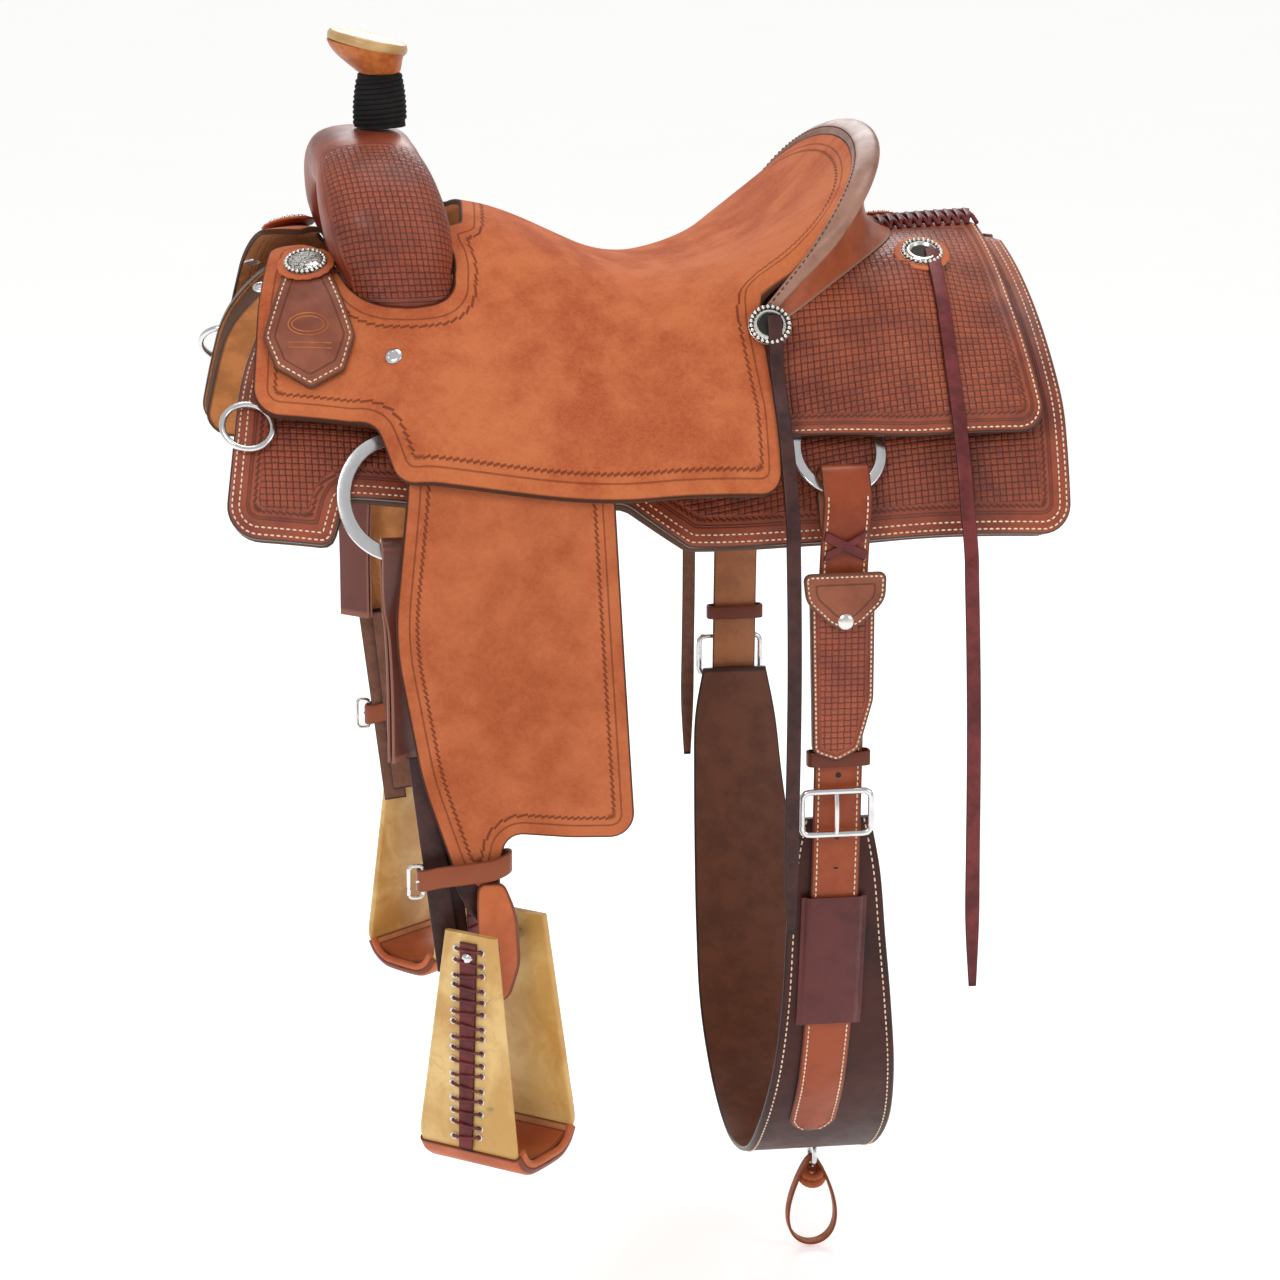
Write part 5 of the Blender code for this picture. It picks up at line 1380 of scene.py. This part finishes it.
def concho(point, normal, node, rosette, slotted):
    """A beaded concho, engraved or with a slotted bar, on a scalloped leather rosette."""
    place = facing(point, normal)
    r, t = CONCHO_R, CONCHO_THICK
    flat_rim = [(0, 0), (r * 0.98, 0), (r, 0.0006), (r, 0.30 * t), (r * 0.97, 0.34 * t), (r * 0.79, 0.30 * t)]
    if slotted:
        profile = flat_rim + [(r * 0.70, 0.80 * t), (r * 0.62, 0.85 * t), (r * 0.56, 0.60 * t),
                              (r * 0.50, 0.30 * t), (0, 0.25 * t)]
    else:
        profile = flat_rim + [(r * 0.76, 0.66 * t), (r * 0.6, 0.86 * t), (r * 0.3, 0.98 * t), (0, t)]
    solid_of(f"{node}_face", [turned(profile, place)], "silver" if slotted else "engraved", "saddle",
             [node])
    beads = [ball(place @ Vector((r * 0.895 * math.cos(a), r * 0.895 * math.sin(a), 0.52 * t)), 0.0019)
             for a in turns(24)]
    solid_of(f"{node}_beads", beads, "silver", "saddle")
    # the groove is a ring of dark metal under the beads: painted shade between them
    groove = turned([(r * 0.72, 0.30 * t), (r * 0.99, 0.305 * t), (r * 0.99, 0.37 * t),
                     (r * 0.72, 0.37 * t)], place)
    solid_of(f"{node}_groove", [groove], "recess", "saddle")
    if rosette:
        rings = []
        for height, size in ((-0.0022, 0.97), (-0.0012, 1.0), (-0.0004, 0.985), (0.0001, 0.94)):
            ring = []
            for a in turns(96):
                scallop = 0.0238 + 0.0010 * abs(math.cos(8 * a))
                ring.append(place @ Vector((scallop * size * math.cos(a), scallop * size * math.sin(a),
                                            height)))
            rings.append(ring)
        solid_of(f"{node}_rosette", [skin(rings)], "plain_tan", "saddle")


def conchos(name, side):
    for node, (x, s), lift, edge, rosette in (("front", FRONT_CONCHO, 0.0068, 0.0, True),
                                              ("seat", SEAT_CONCHO, 0.0060, 0.006, False)):
        shift = Vector((edge, 0, 0))
        point = seat_point(x, s, SEAT_THICK + lift, side) + shift
        over = seat_point(x, s, SEAT_THICK + lift + 0.01, side) + shift
        concho(point, (over - point).normalized(), f"{name}_{node}_concho", rosette, not rosette)
    x, s = REAR_CONCHO
    rear = drape(x, s, JOCKEY_TOP + 0.0035 + bars(x, s), side)
    concho(rear, normal_at(s, side), f"{name}_rear_concho", True, True)
    head = [(0, 0), (0.0072, 0), (0.0074, 0.0008), (0.0066, 0.0017), (0.0046, 0.0021), (0.0042, 0.0012),
            (0, 0.0012)]
    spots = (seat_frame(-0.196, 0.166, side, SEAT_THICK),
             drape_place(side, SKIRT_TOP + 0.0002)(-0.300, 0.062))
    screws = [turned(head, facing(point, normal), 32) for point, normal in spots]
    solid_of(f"{name}_screws", screws, "steel", "saddle")


def flat_ring(name, place, width, node):
    """A ring cut from plate with softened edges."""
    section = soft_box(width / 2, RING_THICK / 2, 0.0011)
    rings = [[place(a, x, y) for x, y in section] for a in turns(96)]
    solid_of(name, [skin(rings, closed=True)], "steel", "saddle", [node])


def rings(name, side):
    flat_ring(f"{name}_front_rigging_ring", front_place(side), FRONT_RING[4], f"{name}_front_ring")
    flat_ring(f"{name}_rear_rigging_ring", rear_place(side), REAR_RING[4], f"{name}_rear_ring")
    dee = [drape(-0.321 + 0.021 * math.cos(a), 0.214 + 0.019 * math.sin(a), 0.0262, side)
           for a in turns(16)]
    solid_of(f"{name}_breast_ring", [tube(dee, 0.0028, 12, closed=True, per=5)], "steel", f"{name}_dee",
             [f"{name}_breast_dee"])


# ---------------------------------------------------------------- legs and stirrups
def upright(side, height):
    """A flat upright leather: (x, z) at a distance from the middle."""
    return lambda x, z: (Vector((x, side * (height + 0.0012 * math.sin(9.0 * z + 22.0 * x)), z)),
                         Vector((0, side, 0)))


def leg(name, side):
    """Fender, stirrup leather with its eye, tails and lobe, and the hobble strap."""
    body = f"{name}_leg"
    outline = rounded([(x, FENDER_TOP if z > -0.12 else z, r) for x, z, r in FENDER])
    flat_place = upright(side, FENDER_IN)
    thick = FENDER_OUT - FENDER_IN

    def place(x, z):
        """Upright below the jockey, bent in towards the saddle under it."""
        point, _ = flat_place(x, z)
        over = max(z + 0.118, 0.0)
        point.y -= side * over * over * 9.0
        return point, Vector((0, side, over * 10.0)).normalized()
    bend = ("saddle", body, (-0.11, side * 0.267, -0.098), (-0.11, side * 0.267, -0.150))
    hide(f"{name}_fender_leather", outline, place, thick, "fender", bend, [f"{name}_fender"],
         cell=0.0055)

    stirrup = Vector((STIRRUP_X, side * STIRRUP_Y, BOLT_Z))
    path = [(-0.112, -0.112, 0.0, 0.068), (-0.116, -0.250, 0.0, 0.066), (-0.130, -0.360, 0.0, 0.060),
            (-0.141, -0.415, 0.0, 0.044), (-0.140, -0.442, 0.0, 0.040), (-0.132, -0.462, 0.55, 0.038),
            (STIRRUP_X, -0.480, 1.0, 0.036), (STIRRUP_X, -0.488, 1.0, 0.036)]
    stations = []
    for x, z, turned_by, width in path:
        centre = Vector((x, side * LEATHER_MID + (stirrup.y - side * LEATHER_MID) * turned_by, z))
        turn = STIRRUP_TURN * turned_by * (-side)
        stations.append((centre, Vector((math.cos(turn), math.sin(turn), 0)) * width / 2,
                         Vector((-math.sin(turn), math.cos(turn), 0)) * (side * LEATHER_THICK / 2)))
    strap(f"{name}_leather_strap", stations, "brown", body, [f"{name}_stirrup_leather"])
    face = Vector((math.sin(STIRRUP_TURN) * side, math.cos(STIRRUP_TURN), 0))
    across = Vector((math.cos(STIRRUP_TURN), -math.sin(STIRRUP_TURN) * side, 0))
    loop = []
    for a in turns(12):
        out = face * math.cos(a) + Vector((0, 0, 1)) * math.sin(a)
        loop.append((stirrup + out * (BOLT_R + 0.0037), across * 0.018, out * 0.0025))
    strap(f"{name}_leather_eye", loop, "brown", body, closed=True)

    for number, (dx, dy, low) in enumerate(((-0.036, 0.0, -0.520), (-0.024, -0.0050, -0.508))):
        line = []
        for k in range(8):
            t = k / 7
            line.append((Vector((-0.150 + dx * (1 - 0.35 * t) + 0.010 * t,
                                 side * (LEATHER_MID - 0.004 + dy), -0.330 + (low + 0.330) * t)),
                         Vector((0.0105, 0, 0.0012)), Vector((0, side * 0.0014, 0))))
        strap(f"{name}_leather_tail_{number}", line, "brown", body)

    lobe = rounded([(-0.140, -0.440, 0.006), (-0.118, -0.440, 0.01), (-0.102, -0.478, 0.04),
                    (-0.100, -0.515, 0.03), (-0.113, -0.546, 0.012), (-0.136, -0.540, 0.020),
                    (-0.146, -0.500, 0.04)])
    centre_x, turn = -0.123, math.radians(32) * side

    def lobe_place(x, z):
        drop = smooth_step(-0.440, -0.485, z)
        shift = x - centre_x
        twist = turn * drop
        point = Vector((centre_x + shift * math.cos(twist), side * (0.2680 + 0.0082 * drop)
                        - shift * math.sin(twist), z))
        return point, Vector((math.sin(twist), math.cos(twist) * side, 0)).normalized()
    hide(f"{name}_leather_lobe", lobe, lobe_place, 0.0034, "plain_tan", body, cell=0.004)

    band, middle, reach = [], Vector((-0.151, 0, -0.4290)), 0.0395
    for a in turns(24):
        squash = abs(math.cos(a)) ** 0.5
        out_x = reach * math.cos(a)
        centre = Vector((middle.x + math.copysign(reach * squash, out_x),
                         side * (0.2645 + 0.0132 * math.sin(a)), middle.z + 0.18 * out_x))
        out = Vector((math.cos(a) * 0.6, side * math.sin(a), 0)).normalized()
        band.append((centre, Vector((0, 0, 0.0095)), out * 0.0014))
    strap(f"{name}_hobble_band", band, "plain_tan", body, [f"{name}_hobble_strap"], closed=True)
    buckle = rounded([(-0.006, -0.014, 0.004), (0.006, -0.014, 0.004), (0.006, 0.014, 0.004),
                      (-0.006, 0.014, 0.004)])
    centre = Vector((-0.1925, side * 0.2690, -0.4360))
    loop = [Vector((-0.1925 + u, side * 0.2690, -0.4360 + v)) for u, v in buckle]
    tongue = [centre, Vector((-0.180, side * 0.2722, -0.4350))]
    solid_of(f"{name}_hobble_buckle", [tube(loop, 0.0017, 8, closed=True, per=3), tube(tongue, 0.0012, 8)],
             "silver", body)


def stirrup_path():
    """The stirrup's band from one upper end to the other: (u along the bolt, z, half width)."""
    path = []
    for k in range(6):
        t = k / 5
        path.append((-0.038 - 0.007 * t, STIRRUP_TOP_Z + (-0.655 - STIRRUP_TOP_Z) * t, 0.026 + 0.023 * t))
    for a in (22, 45, 68, 90):
        angle = math.radians(a)
        path.append((-0.045 + 0.030 * (1 - math.cos(angle)), -0.655 - 0.030 * math.sin(angle), 0.049))
    return path + [(-u, z, w) for u, z, w in reversed(path)]


def stirrup_stations(side, path, wall, grow=0.0):
    bolt, cross = stirrup_axes(side)
    base = stirrup_place(side, 0, 0, 0)
    stations = []
    for i, (u, z, w) in enumerate(path):
        a, b = path[max(i - 1, 0)], path[min(i + 1, len(path) - 1)]
        along = Vector((b[0] - a[0], b[1] - a[1])).normalized()
        out = Vector((along.y, -along.x))
        centre = base + bolt * u + Vector((0, 0, z))
        stations.append((centre, cross * (w + grow), (bolt * out.x + Vector((0, 0, out.y))) * wall / 2))
    return stations


def stirrup(name, side):
    body = f"{name}_stirrup_body"
    path = stirrup_path()
    _, cross = stirrup_axes(side)
    strap(f"{name}_stirrup_rawhide", stirrup_stations(side, path, 0.0064), "rawhide", body,
          [f"{name}_stirrup"], per=8)
    bolt = [stirrup_place(side, end, 0, BOLT_Z) for end in (-0.0425, -0.02, 0.02, 0.0425)]
    heads = [ball(stirrup_place(side, end, 0, BOLT_Z), 0.0058) for end in (-0.0425, 0.0425)]
    solid_of(f"{name}_stirrup_bolt", [tube(bolt, BOLT_R, 16)] + heads, "steel", body)
    middle = len(path) // 2
    wrap = path[6:middle] + path[middle:-6]
    tread = stirrup_stations(side, wrap, 0.0110, grow=0.0022)
    strap(f"{name}_stirrup_wrap", tread, "plain_tan", body, [f"{name}_stirrup_tread"], per=10)
    lips = [tube([c + h * (end * 0.97) - t * 0.9 for c, h, t in tread], 0.0034, 10, per=8)
            for end in (-1, 1)]
    solid_of(f"{name}_stirrup_lips", lips, "plain_tan", body)

    pad = []
    for k in range(9):
        u = -0.034 + 0.068 * k / 8
        z = -0.6700 - 0.0085 * (1 - (u / 0.034) ** 2)
        pad.append((stirrup_place(side, u, 0, z), cross * 0.0475, Vector((0, 0, 0.0019))))
    strap(f"{name}_stirrup_pad", pad, "plain_tan", body)

    for panel, label in ((-1, "near"), (1, "far")):
        lace, eyelets, strip = [], [], []
        way = stirrup_place(side, panel, 0, 0) - stirrup_place(side, 0, 0, 0)
        for k in range(10):
            t = k / 9
            u = 0.0382 + 0.007 * t
            strip.append((stirrup_place(side, panel * (u + 0.0046), 0.0, -0.484 - 0.182 * t),
                          cross * (0.0085 - 0.0015 * t), way * 0.0011))
        strap(f"{name}_stirrup_strip_{label}", strip, "burgundy", body)
        for k in range(16):
            t = (k + 0.4) / 16
            z = -0.486 - 0.176 * t
            u = panel * (0.0382 + 0.007 * t)
            reach = 0.0150 - 0.0025 * abs(2 * t - 1) ** 3
            tip = 0.0016 * math.sin(k * 2.4)
            line = [stirrup_place(side, u + panel * lift, across, z + tip * across / reach)
                    for across, lift in ((-reach, 0.0032), (-reach * 0.85, 0.0056), (0, 0.0072),
                                         (reach * 0.85, 0.0056), (reach, 0.0032))]
            lace.append(tube(line, 0.0013, 7, per=3))
            for end in (-1, 1):
                base = facing(stirrup_place(side, u + panel * 0.0036, end * reach, z + end * tip), way)
                ring = [base @ Vector((0.0026 * math.cos(a), 0.0026 * math.sin(a), 0)) for a in turns(12)]
                eyelets.append(tube(ring, 0.0008, 6, closed=True, per=1))
        solid_of(f"{name}_stirrup_lacing_{label}", lace, "burgundy", body)
        solid_of(f"{name}_stirrup_eyelets_{label}", eyelets, "silver", body)


# ---------------------------------------------------------------- strings, rigging and the flank cinch
def string_stations(side, x_from, x_to, s_from, s_leave, lift, low_z):
    """Stations of a saddle string that runs down the side and then hangs free."""
    line = []
    for k in range(10):
        s = s_from + (s_leave - s_from) * k / 9
        line.append(drape(x_from, s, lift(x_from, s), side))
    start = line[-1]
    for k in range(1, 5):
        t = k / 4
        line.append(Vector((x_from, start.y + (side * STRING_OUT - start.y) * math.sin(math.pi / 2 * t),
                            start.z - 0.055 * t)))
    bottom = line[-1].z
    for k in range(1, 7):
        t = k / 6
        line.append(Vector((x_from + (x_to - x_from) * t + 0.0012 * math.sin(5 * t), side * STRING_OUT,
                            bottom + (low_z - bottom) * t)))
    stations = []
    for i, point in enumerate(line):
        a, b = line[max(i - 1, 0)], line[min(i + 1, len(line) - 1)]
        along = (b - a).normalized()
        across = (Vector((1, 0, 0)) - along * along.x).normalized()
        normal = along.cross(across).normalized()
        if normal.y * side < 0:
            normal = -normal
        slim = 0.55 if i == len(line) - 1 else 1.0
        stations.append((point, across * STRING_WIDTH / 2 * slim, normal * STRING_THICK / 2))
    return stations


def saddle_strings(name, side):
    def over_seat(x, s):
        bump = 0.0070 * (1 - smooth_step(0.150, 0.172, s))
        return SEAT_LOW + SEAT_THICK + bars(x, s) + flare(x, s) + 0.0040 + bump

    def over_jockey(x, s):
        bump = 0.0052 * (1 - smooth_step(0.090, 0.108, s))
        return JOCKEY_TOP + bars(x, s) + 0.0030 + bump
    for spot, look, route in (("seat", "brown", (0.127, 0.129, 0.140, 0.262, over_seat, -0.494)),
                              ("rear", "burgundy", (0.280, 0.289, 0.078, 0.30, over_jockey, -0.550))):
        stations = string_stations(side, *route)
        bend = ("saddle", f"{name}_{spot}_tie", stations[1][0], stations[3][0])
        strap(f"{name}_{spot}_tie_string", stations, look, bend, [f"{name}_{spot}_string"])


def folded_latigo(name, side, node, body):
    """A strap folded over the front ring, turned edge on lower down."""
    pivot = front_place(side)(math.pi / 2, 0.0, 0.0) + Vector((0, 0, 0.002))
    length, gap, rest = 0.178, 0.0115, 0.0024
    path = []
    for d in (length, 0.66 * length, 0.40 * length, 0.26 * length, 0.13 * length, 0.0):
        path.append((d, -(rest + (gap - rest) * (1 - smooth_step(0.05, 0.25, d / length)))))
    for k in range(1, 4):
        a = math.pi * k / 4
        path.append((-gap * math.sin(a), -gap * math.cos(a)))
    path += [(d, -off) for d, off in path[5::-1]]
    stations = []
    for i, (d, off) in enumerate(path):
        turn = math.radians(42) * smooth_step(0.020, 0.090, max(d, 0.0)) * (-side)
        across = Vector((math.cos(turn), math.sin(turn), 0))
        face = Vector((-math.sin(turn), math.cos(turn), 0))
        before, after = path[max(i - 1, 0)], path[min(i + 1, len(path) - 1)]
        along = Vector((0, 0, before[0] - after[0])) + face * (after[1] - before[1])
        normal = along.cross(across).normalized()
        stations.append((pivot + Vector((0, 0, -d)) + face * off, across * 0.017, normal * 0.0015))
    centre = sum((s[0] for s in stations), Vector()) / len(stations)
    if (stations[0][0] - centre).dot(stations[0][2]) < 0:
        stations = [(c, h, -t) for c, h, t in stations]
    strap(name, stations, "latigo", body, [node])


def flank_billet_path(side):
    """The billet's (x, distance from the middle, z): round the ring's bar, down and along the cinch."""
    x = REAR_RING[0]
    over_bar = [(0.300, 0.0238), (0.268, 0.0238), (0.2560, 0.0250), (0.2525, 0.0350), (0.2560, 0.0455),
                (0.268, 0.0485), (0.285, 0.0475)]
    points = [drape(x, at, lift, side) for at, lift in over_bar]
    path = [(x, abs(point.y), point.z) for point in points]
    path += [(x - 0.003, 0.2600, -0.170), (x - 0.005, 0.2600, -0.250), (x - 0.007, 0.2600, -0.430)]
    for i in range(2, 6):
        (y0, z0, _), (y1, z1, _) = CINCH_LINE[i - 1], CINCH_LINE[min(i + 1, 6)]
        out = Vector((z0 - z1, y0 - y1)).normalized() * 0.0065
        y, z, _ = CINCH_LINE[i]
        path.append((x - 0.008, y + out.x, z - out.y))
    return path


def side_stations(path, side, half, thick):
    stations = []
    for i, (x, y, z) in enumerate(path):
        a, b = path[max(i - 1, 0)], path[min(i + 1, len(path) - 1)]
        along = Vector((0, side * (b[1] - a[1]), b[2] - a[2])).normalized()
        normal = along.cross(Vector((1, 0, 0))).normalized()
        stations.append((Vector((x, side * y, z)), Vector((half, 0, 0)), normal * thick / 2))
    return stations


def at_height(path, z):
    """The point of a hanging path at height z, below its loop."""
    free = path[7:]
    for (x0, y0, z0), (x1, y1, z1) in zip(free, free[1:]):
        if z1 <= z <= z0:
            t = (z0 - z) / (z0 - z1)
            return x0 + (x1 - x0) * t, y0 + (y1 - y0) * t, math.atan2(y0 - y1, z0 - z1)
    return free[-1][0], free[-1][1], 0.0


def band_round(path, side, z, width, half, thick, out):
    """Stations of a keeper band round the straps at height z."""
    x, y, lean = at_height(path, z)
    stations = []
    way = Vector((0, side * math.cos(lean), math.sin(lean)))
    down = Vector((0, side * math.sin(lean), -math.cos(lean)))
    for a in turns(20):
        u = math.copysign(abs(math.cos(a)) ** 0.35, math.cos(a)) * half
        v = math.copysign(abs(math.sin(a)) ** 0.5, math.sin(a)) * out
        normal = (Vector((1, 0, 0)) * math.cos(a) + way * math.sin(a)).normalized()
        stations.append((Vector((x + u, side * y, z)) + way * v, down * width / 2, normal * thick / 2))
    return stations


def flank_rig():
    """Flank billets with their buckles, holes, ties and covers, and the cinch that joins them."""
    for name, side in SIDES:
        path = flank_billet_path(side)
        stations = side_stations(path, side, BILLET_WIDTH / 2, 0.0036)
        last, before = stations[-1], stations[-2]
        ahead = (last[0] - before[0]).normalized()
        tip = [(last[0] - ahead * 0.022 * (1 - t), last[1] * math.sqrt(1 - (0.985 * t) ** 2), last[2])
               for t in (0.0, 0.35, 0.65, 0.85, 0.95, 1.0)]
        stations = stations[:-1] + tip
        if stations[8][2].y * side < 0:
            stations = [(c, h, -t) for c, h, t in stations]
        strap(f"{name}_flank_billet_strap", stations, "billet", "flank_rig",
              [f"{name}_flank_billet"])
        sewing = Sewing()
        for track in strap_rows(stations, 0.0042, per=24):
            sewing.row([(spot + up * 0.0003, up) for spot, up in track[136:-52]])
        sewing.done(f"{name}_billet_stitching", "flank_rig")
        # each hole is a dark disc of painted shade set into the strap
        holes = []
        for z in (-0.360, -0.415, -0.442, -0.468, -0.590, -0.616):
            x, y, lean = at_height(path, z)
            way = Vector((0, side * math.cos(lean), math.sin(lean)))
            spot = Vector((x, side * y, z)) + way * 0.0022
            holes.append(turned([(0, -0.0012), (0.0026, -0.0012), (0.0026, 0.0001), (0, 0.0001)],
                                facing(spot, way), 20))
        solid_of(f"{name}_billet_holes", holes, "recess", "flank_rig")

        corners = rounded([(-0.030, -0.021, 0.006), (0.030, -0.021, 0.006), (0.030, 0.017, 0.006),
                           (-0.030, 0.017, 0.006)])
        ring = [Vector((0.168 + u, side * 0.2705, -0.389 + v)) for u, v in resample(corners, 0.004)]
        tongue = [Vector((0.168, side * y, z))
                  for y, z in ((0.2715, -0.409), (0.2735, -0.402), (0.2735, -0.385), (0.2700, -0.370))]
        solid_of(f"{name}_flank_buckle_frame",
                 [tube(ring, 0.0028, 10, closed=True, per=1), tube(tongue, 0.0019, 8)],
                 "steel", "flank_rig", [f"{name}_flank_buckle"])
        strap(f"{name}_billet_keeper", band_round(path, side, -0.345, 0.013, 0.0265, 0.0022, 0.0068),
              "billet", "flank_rig", closed=True)
        section = [(-0.0285, 0.0000), (-0.0255, 0.0004), (-0.0228, 0.0040), (-0.0200, 0.0052),
                   (0.0200, 0.0052), (0.0228, 0.0040), (0.0255, 0.0004), (0.0285, 0.0000)]
        rings = []
        for k in range(14):
            z = -0.470 - 0.124 * k / 13
            x, y, lean = at_height(path, z)
            spot = Vector((x, side * y, z))
            way = Vector((0, side * math.cos(lean), math.sin(lean)))
            rings.append([spot + Vector((u, 0, 0)) + way * (v + 0.0022) for u, v in section]
                         + [spot + Vector((u, 0, 0)) + way * v for u, v in reversed(section)])
        solid_of(f"{name}_billet_cover", [skin(rings)], "latigo", "flank_rig")
        for number, way in enumerate((1, -1)):
            line = []
            for k in range(5):
                t = k / 4
                out = 0.2640 + 0.0022 * math.sin(math.pi * t)
                line.append((Vector((0.174 + way * 0.0175 * (1 - 2 * t), side * out, -0.150 - 0.018 * t)),
                             Vector((0.0012, 0, 0.0042)), Vector((0, side * 0.0009, 0))))
            strap(f"{name}_billet_tie_{number}", line, "burgundy", "flank_rig")

    whole = [(-y, z, w) for y, z, w in CINCH_LINE] + [(y, z, w) for y, z, w in CINCH_LINE[-2::-1]]
    stations = []
    for i, (y, z, w) in enumerate(whole):
        a, b = whole[max(i - 1, 0)], whole[min(i + 1, len(whole) - 1)]
        along = Vector((0, b[0] - a[0], b[1] - a[1])).normalized()
        normal = along.cross(Vector((1, 0, 0))).normalized()
        if normal.dot(Vector((0, y, z + 0.30))) < 0:
            normal = -normal
        stations.append((Vector((cinch_lean(z), y, z)), Vector((w, 0, 0)), normal * 0.0024))
    strap("flank_cinch_leather", stations, "cinch", "flank_rig", ["flank_cinch"])
    sewing = Sewing()
    for track in strap_rows(stations, 0.0062):
        sewing.row(track, pitch=0.0062, length=0.0046)
    sewing.done("flank_cinch_stitching", "flank_rig")


def sheath():
    """The small knife sheath on the near billet, with its flap and snap."""
    outline = rounded([(0.143, -0.186, 0.004), (0.199, -0.186, 0.004), (0.199, -0.292, 0.03),
                       (0.187, -0.336, 0.01), (0.168, -0.346, 0.008), (0.147, -0.338, 0.008)])
    place = upright(NEAR, SHEATH_OUT)
    hide("sheath_body", outline, place, SHEATH_THICK, "tooled_small", "flank_rig", ["knife_sheath"],
         cell=0.004)
    sew_outline("sheath_stitching", outline, (0.0030,), place, SHEATH_THICK, "flank_rig", pitch=0.0042,
                length=0.0030)
    flap = rounded([(0.136, -0.180, 0.006), (0.208, -0.180, 0.006), (0.207, -0.205, 0.02),
                    (0.173, -0.238, 0.025), (0.139, -0.205, 0.02)])
    place = upright(NEAR, FLAP_OUT)
    hide("sheath_flap_leather", flap, place, FLAP_THICK, "kite", "flap", ["sheath_flap"],
         cell=0.0035)
    sew_outline("sheath_flap_stitching", flap, (0.0032,), place, FLAP_THICK, "flap", pitch=0.0042,
                length=0.0030)
    snap = facing(Vector((0.173, -0.2745, -0.222)), Vector((0, -1, 0)))
    solid_of("sheath_snap", [turned([(0, 0), (0.0068, 0), (0.0070, 0.0008), (0.0056, 0.0022), (0.003, 0.0030),
                                     (0, 0.0032)], snap, 32)], "silver", "flap")


def cinch_fittings():
    """The dee under the flank cinch and the short connector strap on it."""
    dee = [Vector((CINCH_DEE_X, 0.0135 * math.cos(a), CINCH_DEE_Z + 0.0135 * math.sin(a)))
           for a in turns(20)]
    solid_of("cinch_ring_wire", [tube(dee, 0.0024, 12, closed=True, per=3)], "steel", "cinch_ring",
             ["cinch_dee"])
    stations = []
    for a in turns(24, 0.5):
        stations.append((Vector((CINCH_DEE_X + 0.021 * math.sin(a) * (1 - 0.45 * math.cos(a)), 0,
                                 -0.8560 + 0.0430 * math.cos(a))),
                         Vector((0, 0.0065, 0)), Vector((math.sin(a), 0, math.cos(a))) * 0.0014))
    strap("connector_loop", stations, "loop", "connector", ["connector_strap"], closed=True)
    knot = []
    for height, size in ((-0.8275, 0.0080), (-0.8330, 0.0095)):
        turn = [Vector((CINCH_DEE_X + size * math.cos(a), size * math.sin(a), height + 0.004 * math.sin(a)))
                for a in turns(20)]
        knot.append(tube(turn, 0.0042, 10, closed=True, per=1))
    solid_of("connector_knot", knot, "loop", "connector")


# ---------------------------------------------------------------- build
camera_and_stage()
seat()
swell()
horn()
cantle()
ridge_lacing()
for side_name, side_sign in SIDES:
    skirts(side_name, side_sign)
    keeper(side_name, side_sign)
    rigging_strap(side_name, side_sign)
    conchos(side_name, side_sign)
    rings(side_name, side_sign)
    leg(side_name, side_sign)
    stirrup(side_name, side_sign)
    saddle_strings(side_name, side_sign)
folded_latigo("latigo_strap", NEAR, "latigo", "front_latigo")
folded_latigo("off_billet_strap", OFF, "off_billet", "front_billet")
flank_rig()
sheath()
cinch_fittings()
for node in ("near_tree_bar", "off_tree_bar", "fork", "horn", "cantle_board"):
    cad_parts[node].data.materials[0] = LOOKS["wood"]
